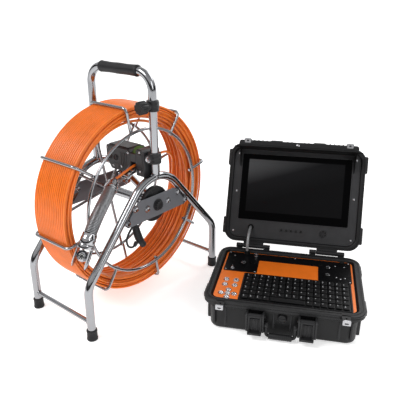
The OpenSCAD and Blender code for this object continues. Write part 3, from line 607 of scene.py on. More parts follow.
s = Shape()
for side in (-1, 1):
    face = side * (PLATE_IN + 4)
    spots = [(sy * y, z) for sy in (-1, 1) for y, z in BOLTS + [(40, AXLE_Z)]]
    for y, z in spots:
        hex_head(s, in_reel(face, y, z) @ turned("Y", 90 * side))
    for sy in (-1, 1):
        for y, z in BOLTS:
            hex_head(s, in_reel(side * 115, sy * y, z) @ turned("Y", -90 * side), height=6)
s.make("plate_bolt_heads", "reel_frame", "polished_steel", replace=("plate_bolts",))

s = Shape()
for side in (-1, 1):
    at = in_reel(side * (PLATE_IN + 4), 0, AXLE_Z) @ turned("Y", 90 * side)
    s.lathe([(8.05, 0), (16.4, 0), (17, 0.5), (17, 2.2), (16.2, 3), (13.6, 3.2), (13.2, 4)], 36, at)
    lobes = [((12.3 + 0.9 * math.cos(12 * a)) * math.cos(a), (12.3 + 0.9 * math.cos(12 * a)) * math.sin(a))
             for a in [2 * math.pi * k / 72 for k in range(72)]]
    s.loft([level(lobes, 3), level(lobes, 9.2), level([(x * .93, y * .93) for x, y in lobes], 10.4),
            level([(x * .6, y * .6) for x, y in lobes], 11.2),
            level([(x * .5, y * .5) for x, y in lobes], 10.6)], at)
s.make("axle_caps", "reel_frame", "black_moulding", replace=("axle_nuts",))

# Slip ring cover: a stepped drum with cooling ribs and a cable gland.
s = Shape()
at = in_reel(0, 0, AXLE_Z) @ TO_X
s.lathe([(8.2, 90), (26, 90), (28, 91.2), (28, 100.5), (44, 101.6), (48.5, 102.4), (50, 104), (50, 105.5),
         (48.8, 106), (48.8, 107), (50, 107.5), (50, 112.6), (48.6, 114.2), (46, 114.4), (45, 113.4), (31, 113.4),
         (30, 114.4), (12, 114.4), (8.2, 114.4)], 64, at, closed=True)
for k in range(10):
    s.block((-1.2, 32, 113), (1.2, 44, 114.45), at @ turned("Z", 36 * k), 0.4)
for sy in (-1, 1):
    s.lathe([(0, 0), (8.8, 0), (9, 1), (9, 5), (8.4, 5.8), (0, 5.8)], 24,
            in_reel(113.1, sy * 40, AXLE_Z) @ TO_X)
s.make("slip_ring_drum", "reel_frame", "black_moulding", replace=("slip_ring_cover",))

# Clamp on the handle's near post.
CLAMP_Z = 568
s = Shape()
at = in_reel(ARCH_X, 0, CLAMP_Z)
s.lathe([(11.05, -14), (14.8, -14), (16, -12.6), (16, -4), (16.8, -3), (16.8, 3), (16, 4), (16, 12.6),
         (14.8, 14), (11.05, 14)], 40, at, closed=True)
s.block((-6, 12, -9), (6, 20, 9), at, 1.5)
s.lathe([(0, 10), (9.4, 10), (9.4, 22), (8.4, 24.5), (3.2, 24.5)], 28, at @ TO_Y)
s.make("clamp_collar_body", "reel_frame", "black_moulding", replace=("clamp_collar",))


def fluted(r, dip, lobes, n=96):
    return [((r - dip * (0.5 + 0.5 * math.cos(lobes * a)) ** 2) * math.cos(a),
             (r - dip * (0.5 + 0.5 * math.cos(lobes * a)) ** 2) * math.sin(a))
            for a in [2 * math.pi * k / n for k in range(n)]]


def knob(shape, at, r, depth, lobes=10, dip=1.8):
    """A fluted hand knob along +Z, with a domed end and a shallow cap in it."""
    f = fluted(r, dip, lobes)
    steps = [(0.80, 0), (0.95, 1.2), (1.0, 3), (1.0, depth - 4), (0.97, depth - 1.8), (0.88, depth - 0.4),
             (0.72, depth), (0.66, depth - 0.8), (0.2, depth - 0.5)]
    shape.loft([level([(x * k, y * k) for x, y in f], z) for k, z in steps], at)


s = Shape()
knob(s, in_reel(ARCH_X, -27, CLAMP_Z) @ TO_Y, 17.4, 23)
s.lathe([(3, 12), (3, 27.5)], 20, in_reel(ARCH_X, 0, CLAMP_Z) @ TO_Y)
s.make("clamp_knob_body", "clamp_knob", "black_moulding", replace=("clamp_knob",))


# ---------- drum ----------

HOOP_R, HOOP_X, WIRE_R = 202, 78, 4
BRACKET_X, BRACKET_R = 70, 268
PHASE, BRACKETS = 10.5, 8


def spoke_frame(angle):
    """+Z of the frame points out from the axle at the given angle, and X stays along the axle."""
    return AXLE @ turned("X", angle - 90)


for name, x in (("hoop_near", HOOP_X), ("hoop_far", -HOOP_X)):
    s = Shape()
    ring = [(x, HOOP_R * math.cos(2 * math.pi * k / 144), HOOP_R * math.sin(2 * math.pi * k / 144))
            for k in range(144)]
    s.sweep(ring, WIRE_R, 16, closed=True, at=AXLE)
    s.make(name + "_wire", "drum", "stainless", replace=(name,))

s = Shape()
for k in range(BRACKETS):
    at = spoke_frame(PHASE + 45 * k)
    path = rounded_path([(-BRACKET_X, 0, HOOP_R - 5), (-BRACKET_X, 0, BRACKET_R), (BRACKET_X, 0, BRACKET_R),
                         (BRACKET_X, 0, HOOP_R - 5)], [13, 13], step=9)
    s.sweep(dense(path), WIRE_R, 14, at=at)
    for x in (-1, 1):
        # Weld fillets where the bracket's leg lies against the hoop.
        for y in (3.0, -3.0):
            s.lathe([(0, -6), (1.8, -5), (2.4, 0), (1.8, 5), (0, 6)], 10,
                    at @ moved(x * (BRACKET_X + HOOP_X) / 2, y, HOOP_R))
s.make("cage_bracket_wires", "drum", "stainless", replace=("cage_brackets",))

s = Shape()
for k in range(BRACKETS):
    at = spoke_frame(PHASE + 45 * k)
    s.sweep(dense([(-HOOP_X, 0, 12), (-HOOP_X, 0, HOOP_R - 3)]), WIRE_R, 14, at=at)
    weld(s, at @ moved(-HOOP_X, 0, 13.4), 4.6, 1.4, 20)
    weld(s, at @ moved(-HOOP_X, 0, HOOP_R - 4.6), 4.2, 1.2, 20)
s.make("spoke_wires", "drum", "stainless", replace=("spokes",))

s = Shape()
s.lathe([(11.1, -86), (12.4, -86), (13, -85.4), (13, -60), (15.4, -59.6), (15.4, -57), (13, -56.6), (13, 56),
         (16.5, 56.4), (16.5, 60), (13, 60.4), (13, 85.4), (12.4, 86), (11.1, 86)], 40,
        AXLE @ TO_X, closed=True)
s.make("hub_tube_body", "drum", "stainless", replace=("hub_tube",))

# The wound rod: three full layers of turns and a partial one, each turn a little uneven.
# The turns are drawn thinner than the rod, so that they stand apart.
ROD_R = 3.5
TURN_R = 2.75
ROD_PITCH = 7.25
rng = random.Random(7)


def turn_ring(x, r, wobble, count=150, lean=0.0, sag=0.0, sag_at=0.0, sag_wide=2.0):
    """One turn of rod about the axle, its radius and place wandering smoothly."""
    waves = [(rng.uniform(0.4, 1), rng.randint(1, 4), rng.uniform(0, 6.28)) for _ in range(3)]
    shifts = [(rng.uniform(0.4, 1), rng.randint(1, 3), rng.uniform(0, 6.28)) for _ in range(3)]
    ring = []
    for k in range(count):
        a = 2 * math.pi * k / count
        dr = wobble * sum(w * math.sin(n * a + p) for w, n, p in waves) / 3
        dx = wobble * sum(w * math.sin(n * a + p) for w, n, p in shifts) / 3
        dip = sag * (0.5 + 0.5 * math.cos(a - sag_at)) ** sag_wide
        rr = r + dr - dip
        ring.append((x + dx + lean * math.sin(a - sag_at), rr * math.cos(a), rr * math.sin(a)))
    return ring


s = Shape()
PARTIAL = 3
for layer, (r, turns) in enumerate(((260.0, 17), (253.7, 16), (247.4, 17), (243.4, 8))):
    for k in range(turns):
        x = (k - (turns - 1) / 2) * ROD_PITCH
        if layer == PARTIAL:
            x = -54 + k * 15.2
        s.sweep(turn_ring(x, r - 0.1 * layer, 0.3 + 0.25 * layer), TURN_R, 8, closed=True, at=AXLE)
# Looser turns that hang inside the coil.
LOOSE = [(50, 237, 13, -12, 1.4, 6), (39, 236, 19, 6, 1.8, 9), (27, 237, 8, -40, 1.2, -5),
         (44, 233, 25, 38, 3.0, 5), (14, 236, 10, 20, 1.5, 7), (54, 238.5, 5, -95, 1.5, 2)]
for x, r, sag, where, wide, lean in LOOSE:
    s.sweep(turn_ring(x, r, 0.8, lean=lean * 0.5, sag=sag, sag_at=math.radians(where), sag_wide=wide),
            ROD_R, 8, closed=True, at=AXLE)
s.make("push_rod_windings", "drum", "rod_orange", sharp=80, replace=("push_rod_coil",))

# The core of the winding, a dark sheet of painted shade that shows in the gaps between turns.
s = Shape()
s.lathe([(249.5, -52), (258.6, -52), (258.6, 52), (249.5, 52)], 144, AXLE @ TO_X, closed=True)
s.make("push_rod_shade_core", "drum", "rod_shadow", sharp=30)


# ---------- meter counter ----------

ROD_X, ROD_Z, WHEEL_R, ROLLER_R = 62, 404, 22, 12
WHEEL_Z = ROD_Z + 3.8 + WHEEL_R
ROLLER_Z = ROD_Z - 3.8 - ROLLER_R
SLOT = 10
post = in_reel(ARCH_X, 0, 430)

s = Shape()
s.lathe([(11.05, -14), (16.8, -14), (18, -12.8), (18, -5), (18.8, -4), (18.8, 4), (18, 5), (18, 12.8),
         (16.8, 14), (11.05, 14)], 40, post, closed=True)
s.block((102, -9, 417), (112, 9, 443), REEL_MM, 1.2)
s.lathe([(0, 12), (12.2, 12), (12.6, 14), (12.6, 21), (11.6, 23.6), (8, 24), (7.6, 23), (0, 23)], 32,
        post @ TO_Y)
s.make("counter_clamp", "reel_frame", "black_moulding", replace=("counter_bracket",))

s = Shape()
hex_head(s, post @ moved(0, -22.6, 0) @ TO_Y, 6.4, 5.5)
# Bright guide arms under the counter, which hold the rod in line with its exit.
arm = in_reel(ROD_X, -27, 391) @ turned("X", 27)
for x in (-12, 12):
    s.block((x - 1, -34, 0), (x + 1, 0, 9), arm, 0.4)
s.block((-12, -34, 0), (12, 0, 1.8), arm, 0.4)
for y in (-7, -28):
    s.lathe([(0, -14.5), (2.6, -14.5), (2.8, -14), (2.8, 14), (2.6, 14.5), (0, 14.5)], 16,
            arm @ moved(0, y, 5.4) @ TO_X)
for x, y, z in ((-44, -27, 436), (40, -27, 436), (84, -27, 444), (84, -27, 392), (12, -27, 392), (-20, -27, 388)):
    s.lathe([(0, -1), (3.4, -1), (3.6, 1.2), (2.6, 2.2), (1.5, 2.3), (1.3, 1.4), (0, 1.4)], 18,
            in_reel(x + 4, y + 1.2, z) @ TO_Y)
s.make("counter_screws", "reel_frame", "polished_steel")

s = Shape()
LEFT, RIGHT = -44, 104
body = [(LEFT + 18, 378), (ROD_X - SLOT, 378), (ROD_X - SLOT, 438), (ROD_X - SLOT - 6, 444),
        (LEFT + 3, 444), (LEFT, 441), (LEFT, 404)]
FRONT = REEL_MM @ TO_Y
s.prism(body, -34, 26, FRONT, 1.6)
block = [(ROD_X + SLOT, 378), (RIGHT - 1, 378), (RIGHT, 379), (RIGHT, 446), (RIGHT - 6, 452),
         (ROD_X + SLOT + 6, 452), (ROD_X + SLOT, 446)]
s.prism(block, -34, 26, FRONT, 1.6)
for y in (-26, 29):
    s.block((ROD_X - SLOT - 1, y, ROD_Z + 9), (ROD_X + SLOT + 1, y + 5, ROD_Z + 33), REEL_MM, 0.8)
# A raised lid with a display window on the left block, and ribs on its front.
s.block((LEFT + 6, -20, 443), (ROD_X - 22, 28, 447), REEL_MM, 1.5)
s.block((-18, -27.5, 384), (6, -25, 398), REEL_MM, 1.0)
for k in range(4):
    s.block((14 + 7 * k, -27.2, 384), (16.4 + 7 * k, -25, 432), REEL_MM, 0.6)
s.block((76, -27.5, 400), (98, -25, 440), REEL_MM, 1.0)
for x in (-30, -6):
    s.lathe([(6.6, 0), (8.4, 0), (8.8, 0.8), (8.4, 2.2), (7.2, 2.6), (6.6, 2.0)], 32,
            in_reel(x, -25.6, 413) @ TO_Y, closed=True)
s.make("counter_case", "reel_frame", "black_moulding", replace=("counter_housing",))

s = Shape()
for x in (-30, -6):
    at = in_reel(x, -25.2, 413) @ TO_Y
    s.lathe([(0, 0), (6.8, 0), (6.8, 0.7), (2.2, 0.9), (1.8, 2.0), (0, 2.0)], 28, at)
    for k in range(10):
        s.block((4.4, -0.35, 0.7), (6.2, 0.35, 1.1), at @ turned("Z", 36 * k), 0.1)
s.make("counter_dials", "reel_frame", "bezel_grey")

s = Shape()
tread = [(WHEEL_R - (0.9 if k % 2 else 0.0), a) for k, a in enumerate(2 * math.pi * k / 96 for k in range(96))]
at = in_reel(ROD_X, 0, WHEEL_Z) @ TO_X
gear = [(r * math.cos(a), r * math.sin(a)) for r, a in tread]
s.loft([level([(x * 0.96, y * 0.96) for x, y in gear], -7), level(gear, -6), level(gear, 6),
        level([(x * 0.96, y * 0.96) for x, y in gear], 7)], at)
s.lathe([(0, -17), (3.6, -17), (4, -16.5), (4, -8), (7, -8), (7, 8), (4, 8), (4, 16.5), (3.6, 17), (0, 17)],
        24, at)
s.make("measuring_wheel_body", "measuring_wheel", "wheel_green", replace=("measuring_wheel",))

s = Shape()
at = in_reel(ROD_X, 0, ROLLER_Z) @ TO_X
s.lathe([(0, -15), (2.7, -15), (3, -14.6), (3, -7.4), (10.6, -7), (ROLLER_R, -6.2), (ROLLER_R - 0.8, -2),
         (ROLLER_R - 1.1, 0), (ROLLER_R - 0.8, 2), (ROLLER_R, 6.2), (10.6, 7), (3, 7.4), (3, 14.6), (2.7, 15),
         (0, 15)], 32, at)
s.make("pressure_roller_body", "pressure_roller", "polished_steel", replace=("pressure_roller",))

s = Shape()
s.lathe([(0, 366), (4, 366), (4, 389.6), (3.4, 390), (0, 390)], 20, in_reel(89, 0, 0))
knob(s, in_reel(89, 0, 372) @ turned("X", 180), 11, 16, 8, 1.6)
s.make("tension_knob_body", "tension_knob", "black_moulding", replace=("tension_knob",))


# ---------- rod, spring and camera head ----------

LEAD = [(-52, 102, 86), (-50, 156, 121), (-46, 200, 174), (-40, 221, 229), (-28, 222, 280),
        (-8, 207, 330), (18, 174, 374), (42, 126, 403), (57, 76, 411), (62, 34, 405), (62, 0, 404),
        (62, -26, 402), (58, -55, 391), (48.6, -80.6, 376.6)]
s = Shape()
s.sweep(catmull(LEAD, 10), ROD_R, 14, at=REEL_MM)
s.make("push_rod_lead_tube", "reel_frame", "rod_orange", sharp=80, replace=("push_rod_lead",))

SPRING_START, SPRING_END = Vector((60, -110, 358)), Vector((106, -220, 289))
START_DIR, HEAD_DIR = Vector((0.33, -0.7975, -0.505)), Vector((0.039, -0.539, -0.842))
REACH = 45


def spring_point(t):
    a, d = SPRING_START, SPRING_END
    b, c = a + REACH * START_DIR, d - REACH * HEAD_DIR
    return ((1 - t) ** 3 * a + 3 * t * (1 - t) ** 2 * b + 3 * t * t * (1 - t) * c + t ** 3 * d)


line = [spring_point(k / 120) for k in range(121)]
lengths = [0.0]
for a, b in zip(line, line[1:]):
    lengths.append(lengths[-1] + (b - a).length)
SPRING_L = lengths[-1]


def at_length(d):
    """The point and direction on the spring's axis at distance d from its start."""
    d = min(max(d, 0), SPRING_L)
    i = next((k for k in range(1, len(lengths)) if lengths[k] >= d), len(lengths) - 1)
    t = (d - lengths[i - 1]) / (lengths[i] - lengths[i - 1])
    return line[i - 1].lerp(line[i], t), (line[i] - line[i - 1]).normalized()


# A close-wound spring of round wire, over a dark sleeve.
WIRE = 1.35
PITCH = 3.1
coils = SPRING_L / PITCH
STEPS = 26
s = Shape()
path = []
side = Vector((1, 0, 0))
for k in range(int(coils * STEPS) + 1):
    d = PITCH * k / STEPS
    p, t = at_length(d)
    side = (side - t * side.dot(t)).normalized()
    other = t.cross(side)
    a = 2 * math.pi * k / STEPS
    r = 16.5 - WIRE
    path.append(p + r * (math.cos(a) * side + math.sin(a) * other))
s.sweep(path, WIRE, 7, at=REEL_MM)
s.make("guide_spring_wire", "reel_frame", "steel_mesh", sharp=80, replace=("camera_spring",))
s = Shape()
s.sweep([spring_point(k / 40) for k in range(41)], 14.6, 24, at=REEL_MM)
s.make("guide_spring_core", "reel_frame", "gasket_black", sharp=60)

s = Shape()
rear = REEL_MM @ along(SPRING_START - 36 * START_DIR.normalized(), SPRING_START)
s.lathe([(3.6, 0), (7.5, 0), (9.5, 1.5), (10, 3), (10, 9), (12, 10), (15, 11), (15, 14), (14.2, 14.5),
         (14.2, 16), (15, 16.5), (15, 23), (17.2, 24), (18, 25.2), (18, 30), (17.2, 30.6), (17.2, 32),
         (18, 32.6), (18, 35.4), (17.4, 36), (3.6, 36)], 44, rear, closed=True)
for k in range(24):
    s.block((14.7, -0.7, 17), (15.5, 0.7, 22.4), rear @ turned("Z", 15 * k), 0.3)
HEAD_POLAR = math.degrees(math.acos(HEAD_DIR.normalized().z))
HEAD_AZ = math.degrees(math.atan2(HEAD_DIR.y, HEAD_DIR.x))
HEAD = in_reel(*SPRING_END) @ turned("Z", HEAD_AZ) @ turned("Y", HEAD_POLAR) @ turned("Z", -30)
s.lathe([(14, 0), (17.8, 0), (18.5, 0.8), (18.5, 11), (19, 12), (19.5, 12.8), (19.5, 17), (18.9, 17.6),
         (18.9, 19), (19.5, 19.6), (19.5, 26.6), (18.9, 27.6), (5, 27.6), (5, 0)], 48, HEAD, closed=True)
for k in range(3):
    s.lathe([(0, 18.4), (1.9, 18.4), (1.9, 19.9), (1.2, 20), (1.0, 19.4), (0, 19.4)], 12,
            HEAD @ moved(0, 0, 6) @ turned("Z", 120 * k + 20) @ TO_Y)
s.make("spring_coupling_pair", "reel_frame", "polished_steel", replace=("spring_couplings",))

# Fork: a turned body with two cheeks, the camera ball between them.
HEAD_R, BALL_R, BALL_Z = 21, 14.5, 58
s = Shape()
s.lathe([(4, 28.0), (18.6, 28.0), (20.4, 28.8), (21, 30), (21, 31.6), (20.3, 32), (20.3, 33), (21, 33.4),
         (21, 39.2), (20.6, 40), (4, 40)], 48, HEAD, closed=True)
CHEEK_IN = BALL_R + 0.5
for sy in (-1, 1):
    rings = []
    for z, k in ((39.5, 1.0), (48, 1.0), (60, 1.0), (68, 1.0), (74, 0.995), (79, 0.975), (83, 0.94),
            (86, 0.89), (88, 0.82)):
        r = HEAD_R * k
        reach = math.sqrt(max(r * r - CHEEK_IN ** 2, 4))
        width = reach * math.sqrt(max(0.1, 1 - (max(0, z - 70) / 19.5) ** 2))
        arc = []
        for j in range(13):
            x = -width + 2 * width * j / 12
            y = math.sqrt(max(r * r - x * x, CHEEK_IN ** 2))
            arc.append((x, sy * y, z))
        inner = [(width, sy * CHEEK_IN, z), (0, sy * CHEEK_IN, z), (-width, sy * CHEEK_IN, z)]
        rings.append(arc + inner)
    s.loft(rings, HEAD)
    s.lathe([(0, 19.2), (4.6, 19.2), (4.9, 20.6), (4.2, 21), (2.2, 21), (1.8, 20.2), (0, 20.2)], 24,
            HEAD @ moved(0, 0, BALL_Z) @ turned("X", -90 * sy))
s.make("camera_fork_body", "camera_fork", "polished_steel", replace=("camera_fork",), bevel=0.5)

# Camera: a ball with a glass nose and lights, held between the fork's cheeks.
ball = HEAD @ moved(0, 0, BALL_Z) @ turned("Y", -85)
s = Shape()
arc = [(BALL_R * math.cos(a), BALL_R * math.sin(a)) for a in
       (math.radians(-89 + 145 * k / 16) for k in range(17))]
s.lathe([(0, -BALL_R)] + arc + [(8.0, 12.2), (7.4, 12.3), (7.1, 12.0), (7.1, 9.4), (0, 9.4)], 40, ball)
for sy in (-1, 1):
    s.lathe([(0, 13), (2.9, 13), (2.9, 17.6), (2.5, 18), (0, 18)], 20, ball @ turned("X", -90 * sy))
s.lathe([(14.3, -0.5), (14.75, -0.4), (14.75, 0.4), (14.3, 0.5)], 48, ball, closed=True)
s.make("camera_ball_body", "camera_ball", "polished_steel", replace=("camera_ball",), sharp=50)
s = Shape()
s.lathe([(0, 9.5), (6.9, 9.5), (6.9, 10.2), (5.8, 10.9), (4.2, 11.1), (3.9, 11.6), (2.6, 12.3), (0, 12.6)], 36, ball)
s.slot = 1
for k in range(6):
    s.lathe([(0, 10.4), (0.95, 10.4), (0.95, 11.2), (0.6, 11.5), (0, 11.6)], 10,
            ball @ turned("Z", 60 * k) @ moved(5.5, 0, 0))
s.make("camera_lens", "camera_ball", ["lens_black", "led_white"])

# Lead from the slip ring, with its angled plug.
s = Shape()
s.sweep(catmull([(97, -36, 268), (96, -58, 256), (95, -80, 240), (95, -94, 218), (95, -90, 198),
                 (95, -76, 189), (95, -64, 193), (95, -58, 199)], 10), 2.9, 12, at=REEL_MM)
s.make("output_lead_tube", "reel_frame", "black_rubber", sharp=80, replace=("output_lead",))
s = Shape()
grip = catmull([(95, -59, 246), (95, -57.5, 233), (95, -53, 217), (95, -47, 202), (95, -39, 189), (95, -34, 182)], 8)
widths = [8.4 + 2.0 * math.sin(math.pi * min(1, k / (len(grip) - 1) * 1.15)) for k in range(len(grip))]
s.sweep(grip, widths, 20, at=REEL_MM)
for k in range(6, 30, 3):
    s.sweep([grip[k] + 0.5 * (grip[k + 1] - grip[k]) * t for t in (-0.8, -0.3, 0.3, 0.8)],
            [widths[k], widths[k] + 0.9, widths[k] + 0.9, widths[k]], 20, at=REEL_MM)
nose = REEL_MM @ along(Vector((95, -39, 189)), Vector((95, -33, 179)))
s.lathe([(0, 4), (8.6, 4), (9.2, 5), (9.2, 10), (8.6, 11), (6.2, 11.2), (6.2, 8), (0, 8)], 28, nose)
s.lathe([(2.8, -6), (4.4, -6), (5.6, 0), (6, 8), (2.8, 8)], 16,
        REEL_MM @ along(Vector((95, -64, 193)), Vector((95, -54, 204))), closed=True)
s.make("output_plug_grip", "reel_frame", "black_rubber", sharp=45, replace=("output_plug",))


# ---------- case base ----------

MID = -12
# Puts flat work (back, up) across the case, its thickness along X.
ACROSS = Matrix(((0, 0, 1, 0), (1, 0, 0, 0), (0, 1, 0, 0), (0, 0, 0, 1)))


def case_ring(w, d, r, z, cy=MID):
    return level(round_rect(w, d, r, 0, cy, 9), z)


def padlock_tab(s, at, x, y, half, hole_y, z0, z1):
    """A lug with rounded edges and a hole through it."""
    outer, small = (round_rect(11 - e, half - e, 4 - e, x, y, 6) for e in (0, 0.8))
    turns = [math.atan2(q - hole_y, p - x) for p, q in outer]
    hole = [(x + 3.5 * math.cos(a), hole_y + 3.5 * math.sin(a)) for a in turns]
    s.loft([level(small, z0), level(outer, z0 + 0.8), level(outer, z1 - 0.8), level(small, z1),
            level(hole, z1), level(hole, z0)], at, closed=True)


s = Shape()
s.loft([case_ring(*ring) for ring in
        ((183, 135, 22, 3), (186, 138, 25, 3.8), (188.5, 140.5, 27, 6), (190, 142, 28, 10),
         (191.5, 143.5, 29, 71), (198, 146, 31, 71.6), (200, 148, 32, 73.4), (200, 148, 32, 79),
         (205, 153, 35, 80), (207, 155, 36, 81.8), (207, 155, 36, 87), (206.2, 154.2, 35.4, 87.7),
         (206.2, 154.2, 35.4, 88.9), (207, 155, 36, 89.6), (207, 155, 36, 93.4), (205.6, 153.6, 35, 95),
         (201, 149, 31, 95), (200.4, 148.4, 30.6, 94), (196.6, 144.6, 28, 94), (196, 144, 27.6, 95),
         (190.5, 138.6, 22, 95), (189, 137.2, 21, 93.6), (186.6, 135, 17, 86), (150, 100, 8, 85.4))], CASE_MM)
# Ribs on the front, cast bumpers on the sides, and reinforcing at the corners.
for x in (-176, -146, -20, 24, 146, 176):
    s.block((x - 3, -157.4, 16), (x + 3, -150, 71.8), CASE_MM, 1.4)
for sx in (-1, 1):
    for y in (-126, -96, 64, 94):
        s.block((min(sx * 187, sx * 199), y, 14), (max(sx * 187, sx * 199), y + 7, 72.2), CASE_MM, 1.8)
    for y in (-128, 58):
        s.block((min(sx * 199, sx * 210.5), y, 74), (max(sx * 199, sx * 210.5), y + 54, 91), CASE_MM, 3)
    for y in (-30, 10):
        s.block((min(sx * 187, sx * 196), y, 30), (max(sx * 187, sx * 196), y + 5, 72.2), CASE_MM, 1.6)
for x in (-150, -50, 50, 150):
    s.block((x - 3, 129, 20), (x + 3, 135, 72), CASE_MM, 1.4)
# Ears that carry the latches and the handle.
for c in (-66, 66):
    for e in (-21, 21):
        outline = [(-150, 20), (-150, 79), (-184, 79), (-186, 77), (-186, 62), (-180, 40), (-180, 24), (-176, 20)]
        s.prism(outline, -2.5, 2.5, in_case(c + e, 0, 0) @ ACROSS, 0.7)
# Tabs for padlocks.
for sx in (-1, 1):
    padlock_tab(s, CASE_MM, sx * 157, -169, 15, -176, 83, 95)
# Hinge barrels and their webs.
for c in (-112, 112):
    for side in (-1, 1):
        low = c + (52 - 20 if side > 0 else -52)
        s.lathe([(0, 0), (6.2, 0), (7, 0.8), (7, 19.2), (6.2, 20), (0, 20)], 28,
                in_case(low, 155, 97) @ TO_X)
        s.block((low + 0.6, 134, 84), (low + 19.4, 155, 94), CASE_MM, 1.2)
s.make("base_shell_body", "case_base", "case_black", replace=("base_shell",))

s = Shape()
for sx in (-1, 1):
    for sy in (-1, 1):
        s.lathe([(0, 0), (12.6, 0), (14, 1.2), (14, 3.4), (0, 3.4)], 32, in_case(sx * 150, MID + sy * 104, 0))
s.make("case_feet_pads", "case_base", "black_rubber", replace=("case_feet",))

# Bright hasp plates under the padlock tabs.
s = Shape()
for sx in (-1, 1):
    at = in_case(sx * 158, -184.2, 87.6) @ TO_Y
    plate = round_rect(10, 7.4, 2.0, 0, 0, 5)
    hole = [(5.4 * math.cos(math.atan2(y, x)), -1.6 + 2.6 * math.sin(math.atan2(y, x))) for x, y in plate]
    s.loft([level(plate, -1.2), level(plate, 0.6), level([(x * 0.93, y * 0.93) for x, y in plate], 1.2),
            level([(x * 1.08, y * 1.08) for x, y in hole], 1.2), level(hole, 0.8), level(hole, -1.2)], at, closed=True)
s.make("hasp_plates", "case_base", "polished_steel")

# Raised edge bead round the orange panel.
s = Shape()
s.loft([case_ring(*ring) for ring in
        ((187, 133, 17, 87.6, -9), (187, 133, 17, 89.1, -9), (186.2, 132.2, 16.4, 89.7, -9),
         (185.2, 131.2, 15.6, 89.7, -9), (184.6, 130.6, 15.2, 89.1, -9), (184.6, 130.6, 15.2, 88.5, -9))], CASE_MM, closed=True)
s.make("panel_gasket", "case_base", "gasket_black")

# Glossy black areas on the panel.
PZ = 88.7
s = Shape()
top = [(-180, 4), (-84, 4), (-84, 80), (88, 80), (88, 0), (180, 0), (180, 118), (-180, 118)]
s.prism(round_corners(top, 5), PZ, PZ + 1.5, CASE_MM, 0.5)
s.prism(round_rect(147, 71, 5, 29.5, -70.5, 6), PZ, PZ + 0.95, CASE_MM, 0.3)
s.loft([level(round_rect(w, d, r, 29.5, -70.5, 6), z) for w, d, r, z in
        ((147, 71, 5, PZ + 0.6), (147, 71, 5, PZ + 1.2), (146.4, 70.4, 4.6, PZ + 1.5), (144.8, 68.8, 3, PZ + 1.5),
         (144.4, 68.4, 3, PZ + 2.3), (143.8, 67.8, 2.6, PZ + 2.6), (142.6, 66.6, 2, PZ + 2.6),
         (141.8, 65.8, 2, PZ + 2.2), (141.6, 65.6, 2, PZ + 0.6))], CASE_MM, closed=True)
s.make("panel_inlays", "case_base", "inlay_black", replace=("black_inlays",))

# Keys, each with a dished top and a light mark.
s = Shape()
COLS, ROWS, PX, PY, KX, KY, KZ = 15, 6, 18.6, 21.6, 29.5 - 15 * 18.6 / 2, -136, PZ + 2.6
for row in range(ROWS):
    column = 0
    while column < COLS:
        span = 5 if row == 0 and column == 4 else 1
        w, d = span * PX - 3.2, PY - 4
        cx, cy = KX + column * PX + 1.6 + w / 2, KY + row * PY + 2 + d / 2
        s.slot = 0
        rings = [level(round_rect(w / 2 - i, d / 2 - j, 1.6, cx, cy, 3), KZ + z)
                 for i, j, z in ((0.2, 0.2, 0.5), (0, 0, 0.8), (0, 0, 1.6), (0.5, 0.5, 2.5), (1.6, 1.8, 3.0),
                                 (2.6, 3.0, 2.85))]
        s.loft(rings, CASE_MM)
        if span == 1:
            s.slot = 1
            a = math.sin(row * 7.3 + column * 3.1)
            b = math.cos(row * 2.7 + column * 5.9)
            x0, y0 = cx - w / 2 + 3.4, cy + d / 2 - 6.2
            s.block((x0, y0, KZ + 2.7), (x0 + 1.9 + 0.5 * a, y0 + 1.6, KZ + 3.06), CASE_MM, 0.05)
            if b > 0.55 or row == 5:
                s.block((x0, y0 - 4.2, KZ + 2.7), (x0 + 2.2 + 0.8 * b, y0 - 3.2, KZ + 3.02), CASE_MM, 0.05)
        column += span
s.make("keyboard_keycaps", "keyboard", ["key_black", "legend"], replace=("keyboard_keys",))

# Round connectors, a toggle, a fuse knob, screws and the aerial connector.
s = Shape()


def socket(x, y, r, pins):
    at = in_case(x, y, PZ + 1.5)
    s.slot = 1
    s.lathe([(r * 0.62, 0), (r, 0), (r, 1.2), (r * 0.97, 1.5), (r * 0.86, 1.5), (r * 0.84, 2.6), (r * 0.8, 2.9),
             (r * 0.7, 2.9), (r * 0.66, 2.5), (r * 0.62, 0.6)], 40, at, closed=True)
    s.prism(circle(r * 0.96, 6), 0, 1.6, at @ turned("Z", 10), 0.4)
    s.slot = 0
    s.lathe([(r * 0.56, 1.2), (r * 0.66, 1.2), (r * 0.66, 2.6), (r * 0.6, 2.9), (r * 0.56, 2.6)], 32, at, closed=True)
    s.slot = 1
    s.lathe([(0, 0.2), (r * 0.6, 0.2), (r * 0.6, 1.0), (r * 0.5, 1.9), (0, 1.9)], 32, at)
    s.slot = 0
    for k in range(pins):
        s.lathe([(0, 1.5), (0.6, 1.5), (0.6, 2.3), (0.3, 2.5), (0, 2.5)], 10,
                at @ turned("Z", 360 * k / pins) @ moved(r * 0.36, 0, 0))


